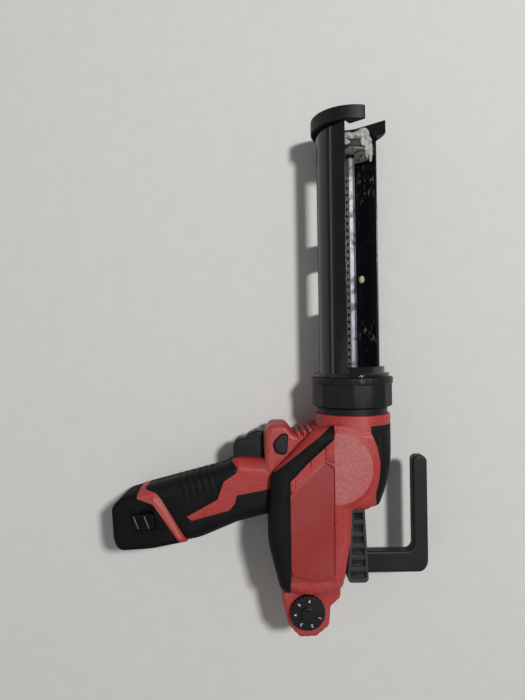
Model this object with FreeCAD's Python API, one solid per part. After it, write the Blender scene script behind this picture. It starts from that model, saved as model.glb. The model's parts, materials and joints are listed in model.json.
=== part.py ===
"""Cordless caulking tool with a turning cartridge carriage, as the pieces it comes apart into.

Modelling frame: X runs from the barrel axis towards the top of the tool, Y forward along the barrel
from the front face of the housing neck, Z from the parting plane of the housing towards its left side.
The finished pieces are moved so that the tool lies on its right side, with the origin on the surface
that it lies on, under the middle of its box.
"""
import FreeCAD, Part
import math
import os

V = FreeCAD.Vector
ORIGIN = V(0, 0, 0)
ALONG_X = V(1, 0, 0)
ALONG_Y = V(0, 1, 0)
ALONG_Z = V(0, 0, 1)
BEYOND = 400.0              # longer than any piece, for cutting tools
SEAM_TURN = 33.0            # degrees

# Clearances
RUNNING_GAP = 0.4           # between pieces that move past each other
SHAFT_FIT = 0.05            # radial play of a turning shaft
SEAT_FIT = 0.05             # play of a fixed piece in its pocket

# Rod drive
RACK_MODULE = 2.0
DEDENDUM = 1.25             # depth of a tooth under its pitch line, in modules
PRESSURE_ANGLE = math.radians(20.0)
TOOTH_PLAY = 0.6            # play between the flanks of meshing teeth
PINION_TEETH = 17
PINION_WIDTH = 11.0
RACK_WIDTH = 10.0
RACK_PITCH_X = -4.0
RACK_BACK_X = 4.5
RACK_BEVEL_DEPTH = 5.5      # bevels along the rod's toothed side
RACK_BEVEL_SIDE = 1.6
ROD_FRONT_Y = 230.0
ROD_HEAD_LENGTH = 19.0      # plain end in front of the teeth
TANG_LENGTH = 30.0
TANG_HALF_HEIGHT = 2.2
TANG_WIDTH = 6.0
SHAFT_Y = -41.8
SHAFT_RADIUS = 6.0
BEARING_RADIUS = 11.0
BEARING_WIDTH = 7.0
BEARING_WALL = 4.0
PINION_SPACER = 2.5         # between the rack pinion and its bearing
BEVEL_SPACER = 1.5          # between the bevel gear and its bearing
SHAFT_OVERHANG = 1.0        # of the cross shaft past its bearings
SHAFT_ROOM = 1.0
SHOE_LENGTH = 26.0
SHOE_THICKNESS = 7.0
GUIDE_LENGTH = 9.0
GUIDE_WALL = 2.5

# Bevel drive and motor
BEVEL_MODULE = 1.5
BEVEL_PINION_TEETH = 12
BEVEL_GEAR_TEETH = 36
BEVEL_FACE = 6.0
BEVEL_ADDENDUM = 0.8
BEVEL_DEDENDUM = 1.05
BEVEL_BACK = 5.0            # thickness of the bevel gear behind its teeth
MOTOR_TILT = math.radians(12.0)
OUTPUT_RADIUS = 5.0
OUTPUT_BEARING_RADIUS = 10.0
OUTPUT_LEAD = 2.0           # of the output shaft before its bearing
GEARBOX_RADIUS = 19.0
GEARBOX_START = 33.0        # from the cross shaft, along the motor axis
GEARBOX_LENGTH = 31.0
GEARBOX_NECK = 4.0
GEARBOX_GROOVE_AT = 9.0     # before the back of the gearbox
GEARBOX_GROOVE_WIDTH = 2.0
GEARBOX_GROOVE_DEPTH = 1.2
MOTOR_RADIUS = 18.0
MOTOR_LENGTH = 46.0
MOTOR_EDGE = 1.5
END_CAP_RADIUS = 15.5
END_CAP_LENGTH = 5.5
END_CAP_DISC = 3.3
TAG_THICKNESS = 1.0
TAG_WIDTH = 6.0
TAG_OFFSET = 8.0
CRADLE_THICKNESS = 3.0
CRADLE_REACH = 2.5          # of a cradle rib, past the piece it holds
CRADLE_SETBACK = 10.0       # of a cradle rib from the end of the piece it holds

# Piston
PISTON_RADIUS = 22.5
PISTON_THICKNESS = 8.0
PISTON_SCREW_RADIUS = 5.5
PISTON_SCREW_HEIGHT = 3.0
PISTON_DISH_RADIUS = 16.0
PISTON_DISH_DEPTH = 2.4
HEX_DRIVE_RADIUS = 2.4

# Rod end and pull hook
GRIP_GAP = 1.0              # from the back of the housing to the rod end grip
GRIP_LENGTH = 70.0
GRIP_HALF_WIDTH = 7.0
GRIP_FRONT_LOW = -2.6
GRIP_FRONT_HIGH = 8.4
GRIP_REAR_LOW = -7.7
GRIP_REAR_HIGH = 11.3
POCKET_COUNT = 6
POCKET_PITCH = 10.4
POCKET_END = 7.0            # from the middle of the last pocket to the end of the grip
POCKET_LENGTH = 6.4
POCKET_DEPTH = 2.2
POCKET_RIM = 2.2
HOOK_ARM = 16.0
HOOK_ARM_AFTER = 43.0       # from the front of the grip to the arm
HOOK_INNER_X = 52.0
HOOK_UPRIGHT = 13.0
HOOK_REACH = 101.0
HOOK_HALF_THICKNESS = 6.0
HOOK_EDGE = 2.0
HOOK_SCREW_RADIUS = 2.0
HOOK_SCREW_LENGTH = 12.0

# Neck, spigot, collar and carriage
NECK_RADIUS = 33.2
NECK_STRAIGHT = 30.0        # from its front face to where it starts to taper
NECK_WAIST_RADIUS = 30.8    # half way along the taper
NECK_REAR_RADIUS = 23.0
NECK_EDGE = 1.0
PLUG_RADIUS = 24.0
PLUG_LENGTH = 12.0
SPIGOT_FLANGE = 5.0
SPIGOT_FLANGE_RADIUS = 30.8
SPIGOT_WEB = 3.5            # wall between the plug and the sleeve
SPIGOT_RADIUS = 30.0
SPIGOT_LENGTH = 22.0
PISTON_ROOM = 1.5           # between the piston and the bores that it backs into
COLLAR_RADIUS = 36.0
COLLAR_START = 7.0
COLLAR_LENGTH = 25.0
COLLAR_LIP = 6.0
COLLAR_FACETS = 15
COLLAR_FACET_DROP = 0.4     # of the facets' corners under the lip
COLLAR_TAPER = 3.5
COLLAR_EDGE = 0.8
RING_FLANGE_RADIUS = 29.8
RING_RADIUS = 27.6
TROUGH_RADIUS = 29.0
TROUGH_WALL = 2.0
TROUGH_RISE = 12.8          # straight walls past the half round
TROUGH_FLANGE_RADIUS = 33.0
TROUGH_FLANGE = 3.2
TROUGH_RING = 5.5
TROUGH_END_Y = 255.0
OPENING_TURN = 50.0         # degrees from the left side towards the top
WINDOW_WIDTH = 16.0
WINDOW_SPANS = ((95.0, 136.0), (161.0, 226.0))
WINDOW_CORNER = 4.0
CAP_RADIUS = 33.6
CAP_DEPTH = 12.0
CAP_WEB = 7.0
NOZZLE_RADIUS = 11.0
SLOT_STRAIGHT = 12.0        # from the barrel axis to where the slot flares
SLOT_FLARE = math.radians(26.0)
CAP_EDGE = 1.0

# Housing
WALL = 3.2
SKIN = 2.0                  # depth of the rubber over-moulds
BODY_HALF = 34.4
BODY_EDGE = 8.5
PLATEAU_HALF = 36.0
PLATEAU_RADIUS = 31.0
PLATEAU_EDGE = 1.2
GROOVE_WIDTH = 0.9
GROOVE_DEPTH = 1.3
STEP_DEPTH = 0.7
TAIL_HALF = 22.0
TAIL_EDGE = 4.0
NOSE_HALF = 21.0
NOSE_EDGE = 5.0
HANDLE_HALF = 20.0
HANDLE_EDGE = 12.0
BASE_HALF = 23.0
BASE_EDGE = 5.0
BUMPER_PROUD = 1.4
REAR_WALL_Y = -80.0
RIB_COUNT = 6               # finger ribs along the front of the handle
RIB_PITCH = 6.0
RIB_GAP = 1.5
RIB_DEPTH = 0.9
RIB_REACH = 20.0            # of a groove back from the front edge
RIB_START = 12.0
VENT_COUNT = 3
VENT_PITCH = 5.2
VENT_WIDTH = 2.6
VENT_PROUD = 2.6
VENT_REACH = 4.0            # of a ridge back from the front edge
VENT_RISE = 0.8
VENT_EDGE = 1.0
VENT_SHARE = 0.62           # middle of the ridges along their side
SCALLOP_RADIUS = 4.5
SCALLOP_DEPTH = 1.3
SCALLOP_SHARES = (0.3, 0.7)
SCREW_RADIUS = 2.0
SCREW_HEAD_RADIUS = 3.6
SCREW_HEAD_HEIGHT = 2.6
SCREW_SINK = 1.5
SCREW_GRIP = 12.0           # length of the screw past the parting plane
SCREW_WALL = 2.4
SCREW_DRIVE_RADIUS = 1.6
SCREW_DRIVE_DEPTH = 1.6

# Controls
TRIGGER_HALF = 8.5
TRIGGER_EDGE = 1.6
TRIGGER_TOP_X = -80.2
TRIGGER_LOW_X = -107.4
TRIGGER_BACK_Y = -40.0
TRIGGER_TRAVEL = 7.0
PLUNGER_HALF = 4.0
PLUNGER_LENGTH = 16.0
SWITCH_HALF = 11.0
SWITCH_DEPTH = 34.0
LOCK_PROUD = 3.5
LOCK_EDGE = 0.8
DIAL_X = -44.8
DIAL_AFTER_MOTOR = 13.2     # from the back of the motor to the dial's axis
DIAL_RADIUS = 14.8
DIAL_HEIGHT = 4.6
DIAL_HUB_RADIUS = 6.2
DIAL_HUB_HEIGHT = 2.4
DIAL_HUB_EDGE = 1.2
DIAL_EDGE = 0.7
DIAL_NOTCHES = 24
DIAL_NOTCH_RADIUS = 0.7
DIAL_STEM_RADIUS = 3.0
DIAL_STEM_LENGTH = 9.0
BOARD_LOW_X = -55.0
BOARD_HIGH_X = -34.0
BOARD_BEHIND_DIAL = 14.0
BOARD_BEFORE_DIAL = 4.5
BOARD_POST_RADIUS = 3.0
BOARD_THICKNESS = 1.6
BOARD_Z = 0.0
SENSOR_SIZE = 13.0

# Battery
HANDLE_AXIS_FROM = V(-112.0, -67.0, 0)
HANDLE_TILT = math.radians(13.5)
STEM_START = 8.3
STEM_END = 78.0
STEM_HALF_DEPTH = 17.0
STEM_HALF_WIDTH = 13.5
STEM_CORNER = 8.0
STEM_RIBS = (8.0, 34.0)     # handle ribs around the stem, from its start
LATCH_X = -184.5
LATCH_Y = -89.0
LATCH_LENGTH = 19.0
LATCH_WIDTH = 14.0
LATCH_DEPTH = 6.0
LATCH_PROUD = 1.2
LATCH_TRAVEL = 2.5
LATCH_RIBS = 2
LATCH_SLANT = 29.0          # degrees
LATCH_GROOVE = 1.8
LATCH_GROOVE_DEPTH = 1.0
LATCH_CORNER = 3.0
LATCH_EDGE = 0.6
TERMINAL_LENGTH = 8.0
TERMINAL_HALF_DEPTH = 12.0
TERMINAL_HALF_WIDTH = 10.0
BLADE_THICKNESS = 1.2
BLADE_WIDTH = 6.0
BLADE_REACH = 9.0
BLADE_ROOT = 2.0            # of a blade inside the terminal block
BLADE_OFFSETS = (-7.0, 0.0, 7.0)

# Worked out from the sizes above
PINION_RADIUS = RACK_MODULE * PINION_TEETH / 2
SHAFT_X = RACK_PITCH_X - PINION_RADIUS
RACK_PITCH = math.pi * RACK_MODULE
RACK_TIP_X = RACK_PITCH_X - RACK_MODULE
RACK_ROOT_X = RACK_PITCH_X + DEDENDUM * RACK_MODULE
MOTOR_AXIS = V(-math.sin(MOTOR_TILT), -math.cos(MOTOR_TILT), 0)
MOTOR_SIDE = V(math.cos(MOTOR_TILT), -math.sin(MOTOR_TILT), 0)
SHAFT_AT = V(SHAFT_X, SHAFT_Y, 0)
HANDLE_AXIS = V(-math.cos(HANDLE_TILT), -math.sin(HANDLE_TILT), 0)
HANDLE_SIDE = V(-math.sin(HANDLE_TILT), math.cos(HANDLE_TILT), 0)
GRIP_FRONT_Y = REAR_WALL_Y - GRIP_GAP
COLLAR_END_Y = COLLAR_START + COLLAR_LENGTH
TROUGH_START_Y = COLLAR_END_Y + RUNNING_GAP
BORE_RADIUS = PISTON_RADIUS + PISTON_ROOM
SWITCH_FRONT_Y = TRIGGER_BACK_Y - TRIGGER_TRAVEL - 2 * RUNNING_GAP
MOTOR_END = GEARBOX_START + GEARBOX_LENGTH + MOTOR_LENGTH + END_CAP_LENGTH
DIAL_Y = SHAFT_Y - MOTOR_END * math.cos(MOTOR_TILT) - DIAL_AFTER_MOTOR
TAIL_FRONT_Y = DIAL_Y + 32.0
BODY_END_Y = DIAL_Y + 15.4
PANEL_END_Y = DIAL_Y + 30.6

# Outlines seen from the left side, as (x, y, corner radius)
BODY_OUTLINE = [
    (18.0, -11.0, 9.0), (20.0, -34.0, 40.0), (17.0, -62.0, 30.0), (10.0, REAR_WALL_Y, 9.0),
    (-6.0, REAR_WALL_Y, 3.0), (-7.4, -106.0, 60.0), (-15.0, BODY_END_Y + 5.6, 9.0),
    (-40.5, BODY_END_Y, 50.0), (-66.5, BODY_END_Y + 5.6, 9.0), (-77.0, -104.0, 60.0),
    (-72.5, -49.0, 14.0), (-37.5, -13.6, 12.0), (-24.0, -10.0, 9.0)]
PANEL_OUTLINE = [
    (-59.5, -54.0, 8.0), (-59.0, PANEL_END_Y + 6.4, 6.0), (-40.5, PANEL_END_Y, 30.0),
    (-21.0, PANEL_END_Y + 5.0, 7.0),
    (-15.0, -100.0, 20.0), (-13.0, SHAFT_Y, 4.0), (-44.0, SHAFT_Y, 6.0)]
TAIL_OUTLINE = [
    (-15.5, TAIL_FRONT_Y, 6.0), (-15.8, DIAL_Y + 10.5, 5.5), (-24.6, DIAL_Y + 2.5, 3.0),
    (-26.0, DIAL_Y - 14.0, 7.0), (-37.0, DIAL_Y - 23.0, 7.0), (-52.0, DIAL_Y - 23.5, 8.0),
    (-61.5, DIAL_Y - 13.0, 9.0), (-66.5, DIAL_Y + 10.0, 12.0), (-66.5, TAIL_FRONT_Y, 6.0)]
SCALLOPED_SIDES = (3, 4, 5)     # sides of the tail that carry scallops, counted from its first corner
NOSE_OUTLINE = [
    (-26.0, -40.0, 6.0), (-30.0, -11.5, 6.0), (-54.0, -17.0, 5.0), (-61.0, -7.8, 6.0),
    (-74.2, -7.8, 6.0), (-79.5, -15.0, 7.0), (-79.5, -50.0, 6.0), (-50.0, -60.0, 6.0)]
VENT_SIDE = 1                   # side of the nose that carries the vent ridges
HANDLE_OUTLINE = [
    (-64.0, -38.5, 13.0), (-104.0, -36.6, 10.0), (-114.0, -43.2, 13.0), (-228.0, -72.2, 14.0),
    (-228.0, -117.4, 14.0), (-182.0, -114.4, 60.0), (-137.6, -107.2, 60.0), (-104.0, -93.5, 40.0),
    (-64.0, -84.0, 13.0)]
RIBBED_SIDE = 2                 # side of the handle that carries the finger ribs
BASE_OUTLINE = [
    (-136.0, -49.4, 6.0), (-204.4, -68.9, 9.0), (-212.8, -77.0, 8.5), (-211.4, -104.0, 20.0),
    (-207.6, -114.6, 8.0), (-178.5, -113.2, 60.0), (-136.0, -105.4, 6.0)]
# Where the battery base meets the rim of the handle, and where that rim begins
PARTING = [(-186.0, -30.0), (-190.0, -69.0), (-176.3, -74.3), (-139.0, -129.0)]
RIM_START = [(-181.0, -30.0), (-184.0, -63.0), (-174.5, -65.3), (-169.5, -70.7), (-135.0, -129.0)]
# Regions of the black over-moulds
BUMPER_REGION = [
    (-21.0, 0.0), (-21.4, -18.7), (-41.0, -36.0), (-58.4, -53.4),
    (-59.2, PANEL_END_Y + 5.4), (-60.5, DIAL_Y + 8.0),
    (-95.0, DIAL_Y + 8.0), (-95.0, -45.0), (-60.0, -8.0), (-40.0, 0.0)]
TOP_REGION = [
    (10.2, -8.8), (10.4, -15.0), (15.0, -25.5), (18.2, -40.5), (17.6, -50.5), (13.6, -64.4),
    (16.4, -74.0), (17.5, -95.0), (50.0, -95.0), (50.0, -8.8)]
GRIP_REGION = [
    (-104.0, -20.0), (-103.4, -42.6), (-104.4, -48.9), (-115.4, -56.4), (-120.8, -71.6),
    (-147.6, -86.0), (-143.4, -89.4), (-111.0, -81.2), (-106.0, -75.4), (-104.2, -68.2),
    (-79.8, -63.9), (-66.0, -60.0), (-66.0, -110.0), (-135.0, -129.0), (-169.5, -70.7),
    (-174.5, -65.3), (-184.0, -63.0), (-181.0, -20.0)]
# Grooves and the sunk step in the panel
PANEL_GROOVES = (
    ((-28.6, -23.0), (-28.8, -35.8), (-21.9, -38.4)),
    ((-28.8, -38.3), (-21.7, -43.4), (-22.8, PANEL_END_Y + 5.9)),
    ((-40.9, -35.7), (-41.7, -45.0)),
    ((-54.3, -52.3), (-54.8, -59.8)))
PANEL_STEP = [(-28.6, -20.0), (-28.8, -38.2), (-54.2, -63.5), (-64.0, -66.0), (-64.0, -50.0)]
# Housing screws, as (x, y, depth of the housing there)
SCREW_PLACES = (
    (10.0, -22.0, BODY_HALF), (10.5, -62.5, BODY_HALF), (-66.0, -70.0, BODY_HALF),
    (-66.0, -126.0, BODY_HALF), (-21.5, DIAL_Y + 14.5, TAIL_HALF), (-110.5, -51.5, HANDLE_HALF),
    (-117.0, -93.0, HANDLE_HALF))
LOCK_OUTLINE = [
    (-59.4, -15.7, 2.0), (-60.8, -33.4, 2.5), (-69.8, -31.2, 4.0), (-72.0, -22.4, 5.0),
    (-65.0, -15.7, 4.5)]
TRIGGER_OUTLINE = [
    (TRIGGER_TOP_X, -14.5, 2.5), (-87.0, -14.0, 5.0), (-93.5, -17.0, 5.0), (-97.5, -21.0, 3.0),
    (-103.5, -21.0, 3.5), (TRIGGER_LOW_X, -26.0, 3.0), (TRIGGER_LOW_X, TRIGGER_BACK_Y, 0.5),
    (TRIGGER_TOP_X, TRIGGER_BACK_Y, 0.5)]


# Shape helpers
def rounded_wire(corners):
    """Closed wire in the XY plane through (x, y, radius) corners."""
    edges = []
    count = len(corners)
    points = [V(x, y, 0) for x, y, _ in corners]
    ends = []
    for i in range(count):
        back = (points[i - 1] - points[i]).normalize()
        ahead = (points[(i + 1) % count] - points[i]).normalize()
        half = back.getAngle(ahead) / 2
        radius = corners[i][2]
        setback = radius / math.tan(half)
        middle = (back + ahead).normalize() * (radius / math.sin(half) - radius)
        ends.append((points[i] + back * setback, points[i] + middle, points[i] + ahead * setback))
    for i in range(count):
        start, middle, end = ends[i]
        previous = ends[i - 1][2]
        if previous.distanceToPoint(start) > 1e-4:
            edges.append(Part.makeLine(previous, start))
        if corners[i][2] > 0:
            edges.append(Part.Arc(start, middle, end).toShape())
    return Part.Wire(edges)


def shrunk(corners, inset):
    """The same corners with every side moved inwards by the inset."""
    count = len(corners)
    points = [V(x, y, 0) for x, y, _ in corners]
    area = sum(points[i - 1].x * points[i].y - points[i].x * points[i - 1].y for i in range(count))
    turn = 1 if area > 0 else -1
    moved = []
    for i in range(count):
        into = (points[i] - points[i - 1]).normalize()
        out = (points[(i + 1) % count] - points[i]).normalize()
        left_in = V(-into.y, into.x, 0) * turn
        left_out = V(-out.y, out.x, 0) * turn
        shift = (left_in + left_out) * (inset / (1 + left_in.dot(left_out)))
        convex = into.cross(out).z * turn > 0
        radius = corners[i][2] - inset if convex else corners[i][2] + inset
        moved.append((points[i].x + shift.x, points[i].y + shift.y, max(radius, 0.0)))
    return moved


def prism(corners, low, high):
    """Upright solid on a rounded outline between two heights."""
    solid = Part.Face(rounded_wire(corners)).extrude(ALONG_Z * (high - low))
    solid.translate(ALONG_Z * low)
    return solid


def region(points):
    """Tall prism on a sharp-cornered outline, for cutting."""
    return prism([(x, y, 0.0) for x, y in points], -BEYOND, BEYOND)


def rim_edges(solid, heights):
    """Edges of a solid that lie flat at one of the heights."""
    found = []
    for edge in solid.Edges:
        box = edge.BoundBox
        flat = box.ZLength < 1e-6
        if flat and any(abs(box.ZMin - height) < 1e-6 for height in heights):
            found.append(edge)
    return found


def pad(corners, half, edge, inset=0.0):
    """Solid on both sides of the parting plane with rounded rims, shrunk by the inset."""
    depth = half - inset
    solid = prism(shrunk(corners, inset) if inset else corners, -depth, depth)
    rounding = edge - inset
    if rounding > 0.2:
        solid = solid.makeFillet(rounding, rim_edges(solid, (-depth, depth)))
    return solid


def cylinder(radius, start, axis, length):
    """Cylinder from a point along an axis, with its seam turned away from the parting plane."""
    solid = Part.makeCylinder(radius, length, start, axis)
    solid.rotate(start, axis, SEAM_TURN)
    return solid


def tube(outer, inner, start, axis, length):
    """Ring or tube from a point along an axis."""
    return cylinder(outer, start, axis, length).cut(cylinder(inner, start, axis, length))


def box(low, high):
    """Box between two corners."""
    size = high - low
    return Part.makeBox(size.x, size.y, size.z, low)


def barrel(radius, start, end):
    """Cylinder on the barrel axis between two places along it."""
    return cylinder(radius, V(0, start, 0), ALONG_Y, end - start)


def barrel_tube(outer, inner, start, end):
    """Ring on the barrel axis."""
    return barrel(outer, start, end).cut(barrel(inner, start, end))


def fuse_all(shapes):
    """One shape from several that touch or overlap."""
    return shapes[0].multiFuse(shapes[1:]) if len(shapes) > 1 else shapes[0]


def one_solid(shape):
    """The largest solid of a cut, with its split faces merged."""
    solids = sorted(shape.removeSplitter().Solids, key=lambda solid: solid.Volume)
    return solids[-1]


def cut_each(shape, tools):
    """Cut tools that may overlap each other out of a shape, one after the other."""
    for tool in tools:
        shape = shape.cut(tool)
    return shape


def half_space(side):
    """Everything on one side of the parting plane, +1 for left and -1 for right."""
    low = 0.0 if side > 0 else -BEYOND
    return box(V(-BEYOND, -BEYOND, low), V(BEYOND, BEYOND, low + BEYOND))


def on_motor(distance, sideways=0.0):
    """Point at a distance from the cross shaft along the motor axis."""
    return SHAFT_AT + MOTOR_AXIS * distance + MOTOR_SIDE * sideways


def on_handle(distance, sideways=0.0):
    """Point along the axis on which the battery slides."""
    return HANDLE_AXIS_FROM + HANDLE_AXIS * distance + HANDLE_SIDE * sideways


def slanted_box(place, start, end, half_side, half_height):
    """Box along the motor or handle axis, given by its place function."""
    corners = [place(start, -half_side), place(end, -half_side), place(end, half_side),
               place(start, half_side)]
    return prism([(point.x, point.y, 0.0) for point in corners], -half_height, half_height)


# Gear teeth
def involute(angle):
    """Involute function of an angle."""
    return math.tan(angle) - angle


def tooth_half_angle(radius, teeth, module):
    """Half of the angle that one tooth covers at a radius."""
    pitch_radius = module * teeth / 2
    base_radius = pitch_radius * math.cos(PRESSURE_ANGLE)
    at_pitch = (math.pi * module - TOOTH_PLAY) / (4 * pitch_radius)
    local = math.acos(base_radius / max(radius, base_radius))
    return at_pitch + involute(PRESSURE_ANGLE) - involute(local)


def spur_gear(module, teeth, width, first_gap):
    """Spur gear about Z with the middle of a tooth gap at the given angle."""
    pitch_radius = module * teeth / 2
    root = pitch_radius - DEDENDUM * module
    base = pitch_radius * math.cos(PRESSURE_ANGLE)
    tip = pitch_radius + module
    steps = 4
    radii = [root] + [base + (tip - base) * i / (steps - 1) for i in range(steps)]
    points = []
    for tooth in range(teeth):
        middle = first_gap + (tooth + 0.5) * 2 * math.pi / teeth
        rising = [(radius, middle - tooth_half_angle(radius, teeth, module)) for radius in radii]
        falling = [(radius, 2 * middle - angle) for radius, angle in reversed(rising)]
        points += [V(radius * math.cos(angle), radius * math.sin(angle), -width / 2)
                   for radius, angle in rising + falling]
    outline = Part.makePolygon(points + points[:1])
    return Part.Face(outline).extrude(ALONG_Z * width)


def cone_point(distance, offset, cone):
    """Distance from the gear axis and along it, on a pitch cone, moved off the cone by the offset."""
    return (distance * math.sin(cone) + offset * math.cos(cone),
            distance * math.cos(cone) - offset * math.sin(cone))


def bevel_teeth(teeth, cone, cone_length, turn):
    """Straight bevel teeth about Z, with the tip of the pitch cone at the origin."""
    virtual = teeth / math.cos(cone)
    virtual_radius = BEVEL_MODULE * virtual / 2
    sink = 0.4 * BEVEL_MODULE
    offsets = (-BEVEL_DEDENDUM * BEVEL_MODULE - sink, -0.5 * BEVEL_MODULE, 0.0,
               BEVEL_ADDENDUM * BEVEL_MODULE)
    halves = [(virtual_radius + offset) * tooth_half_angle(virtual_radius + offset, virtual, BEVEL_MODULE)
              for offset in offsets]
    solids = []
    for tooth in range(teeth):
        angle = turn + tooth * 2 * math.pi / teeth
        radial = V(math.cos(angle), math.sin(angle), 0)
        across = V(-math.sin(angle), math.cos(angle), 0)
        sections = []
        for distance in (cone_length, cone_length - BEVEL_FACE):
            scale = distance / cone_length
            side = []
            for offset, half in zip(offsets, halves):
                out, along = cone_point(distance, offset * scale, cone)
                side.append((radial * out + ALONG_Z * along, half * scale))
            points = [centre + across * half for centre, half in side]
            points += [centre - across * half for centre, half in reversed(side)]
            sections.append(Part.makePolygon(points + points[:1]))
        solids.append(Part.makeLoft(sections, True, True))
    return solids


def turned(profile):
    """Solid of revolution about Z from (radius, height) corners."""
    points = [V(radius, 0, height) for radius, height in profile]
    face = Part.Face(Part.makePolygon(points + points[:1]))
    return face.revolve(ORIGIN, ALONG_Z, 360)


def bevel_blank(cone_length, cone, back, bore):
    """Body of a bevel gear under its teeth, from the small end to the back."""
    depth = BEVEL_DEDENDUM * BEVEL_MODULE
    small = cone_length - BEVEL_FACE
    outer = cone_point(cone_length, -depth, cone)
    inner = cone_point(small, -depth * small / cone_length, cone)
    profile = [(bore, inner[1]), inner, outer, (outer[0], outer[1] + back), (bore, outer[1] + back)]
    return turned(profile)


def bevel_cone_length():
    """Length of the pitch cones' common side."""
    return BEVEL_MODULE / 2 * math.hypot(BEVEL_PINION_TEETH, BEVEL_GEAR_TEETH)


def gear_cone():
    """Half angle of the bevel gear's pitch cone."""
    return math.atan2(BEVEL_GEAR_TEETH, BEVEL_PINION_TEETH)


def bevel_back_z():
    """Height of the bevel gear's back face above the parting plane."""
    return cone_point(bevel_cone_length(), -BEVEL_DEDENDUM * BEVEL_MODULE, gear_cone())[1] + BEVEL_BACK


# Rod, piston and what pulls it back
def rod_bar():
    """Plain bar of the rod, chamfered along the side that carries the teeth."""
    half = RACK_WIDTH / 2
    inner = half - RACK_BEVEL_SIDE
    bevel_x = RACK_TIP_X + RACK_BEVEL_DEPTH
    section = [(RACK_BACK_X, -half), (RACK_BACK_X, half), (bevel_x, half), (RACK_TIP_X, inner),
               (RACK_TIP_X, -inner), (bevel_x, -half)]
    points = [V(x, GRIP_FRONT_Y, z) for x, z in section]
    end_face = Part.Face(Part.makePolygon(points + points[:1]))
    return end_face.extrude(ALONG_Y * (ROD_FRONT_Y - GRIP_FRONT_Y))


def rack_rod():
    """Toothed rod with a plain end in front and a tang behind."""
    half = (math.pi * RACK_MODULE - TOOTH_PLAY) / 4
    slope = math.tan(PRESSURE_ANGLE)
    half_tip = half - RACK_MODULE * slope
    half_root = half + (RACK_ROOT_X - RACK_PITCH_X) * slope
    behind = int((SHAFT_Y - GRIP_FRONT_Y) / RACK_PITCH) - 2
    ahead = int((ROD_FRONT_Y - ROD_HEAD_LENGTH - SHAFT_Y) / RACK_PITCH)
    gaps = []
    for tooth in range(-behind, ahead):
        front = SHAFT_Y + (tooth + 1) * RACK_PITCH
        rear = SHAFT_Y + tooth * RACK_PITCH
        corners = [(RACK_ROOT_X, rear + half_root, 0.0), (RACK_ROOT_X, front - half_root, 0.0),
                   (RACK_TIP_X, front - half_tip, 0.0), (RACK_TIP_X, rear + half_tip, 0.0)]
        gaps.append(prism(corners, -RACK_WIDTH, RACK_WIDTH))
    return one_solid(rod_bar().cut(gaps).fuse(tang(0.0)))


def tang(gap):
    """Narrow rear end of the rod, grown by a gap for its socket."""
    middle = (GRIP_FRONT_LOW + RACK_BACK_X) / 2
    return box(V(middle - TANG_HALF_HEIGHT - gap, GRIP_FRONT_Y - TANG_LENGTH - gap, -TANG_WIDTH / 2 - gap),
               V(middle + TANG_HALF_HEIGHT + gap, GRIP_FRONT_Y, TANG_WIDTH / 2 + gap))


def piston_disc():
    """Dished disc that pushes the cartridge's plunger."""
    front = ROD_FRONT_Y + PISTON_THICKNESS
    disc = barrel(PISTON_RADIUS, ROD_FRONT_Y, front)
    disc = disc.makeFillet(PISTON_THICKNESS / 4, disc.Edges)
    return one_solid(disc.cut(barrel(PISTON_DISH_RADIUS, front - PISTON_DISH_DEPTH, front)))


def piston_screw():
    """Screw head that holds the disc on the rod."""
    seat = ROD_FRONT_Y + PISTON_THICKNESS - PISTON_DISH_DEPTH
    head = barrel(PISTON_SCREW_RADIUS, seat, seat + PISTON_SCREW_HEIGHT)
    head = head.makeFillet(PISTON_SCREW_HEIGHT / 3, [head.Edges[0]])
    corners = [(HEX_DRIVE_RADIUS * math.cos(i * math.pi / 3), HEX_DRIVE_RADIUS * math.sin(i * math.pi / 3))
               for i in range(7)]
    drive = Part.makePolygon([V(x, seat + PISTON_SCREW_HEIGHT / 2, z) for x, z in corners])
    return one_solid(head.cut(Part.Face(drive).extrude(ALONG_Y * PISTON_SCREW_HEIGHT)))


def grip_edges(along):
    """Low and high side of the rod end grip at a distance behind its front."""
    share = along / GRIP_LENGTH
    return (GRIP_FRONT_LOW + (GRIP_REAR_LOW - GRIP_FRONT_LOW) * share,
            GRIP_FRONT_HIGH + (GRIP_REAR_HIGH - GRIP_FRONT_HIGH) * share)


def rod_end_blank():
    """Tapered bar behind the rod, before its pockets."""
    rear = GRIP_FRONT_Y - GRIP_LENGTH
    corners = [(GRIP_FRONT_LOW, GRIP_FRONT_Y, 0.6), (GRIP_FRONT_HIGH, GRIP_FRONT_Y, 0.6),
               (GRIP_REAR_HIGH, rear, 4.0), (GRIP_REAR_LOW, rear, 4.0)]
    return prism(corners, -GRIP_HALF_WIDTH, GRIP_HALF_WIDTH)


def rod_end_grip():
    """Bar with a row of pockets on both faces and a socket for the rod's tang."""
    cuts = [tang(SEAT_FIT), hook_screw(SEAT_FIT)]
    for pocket in range(POCKET_COUNT):
        along = GRIP_LENGTH - POCKET_END - pocket * POCKET_PITCH
        low, high = grip_edges(along - POCKET_LENGTH / 2)
        centre = GRIP_FRONT_Y - along
        for side in (-1, 1):
            outer = side * (GRIP_HALF_WIDTH + POCKET_DEPTH)
            floor = side * (GRIP_HALF_WIDTH - POCKET_DEPTH)
            cuts.append(box(V(low + POCKET_RIM, centre - POCKET_LENGTH / 2, min(outer, floor)),
                            V(high - POCKET_RIM, centre + POCKET_LENGTH / 2, max(outer, floor))))
    return one_solid(rod_end_blank().cut(cuts))


def hook_middle_y():
    """Middle of the hook's arm along the barrel."""
    return GRIP_FRONT_Y - HOOK_ARM_AFTER - HOOK_ARM / 2


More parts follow.
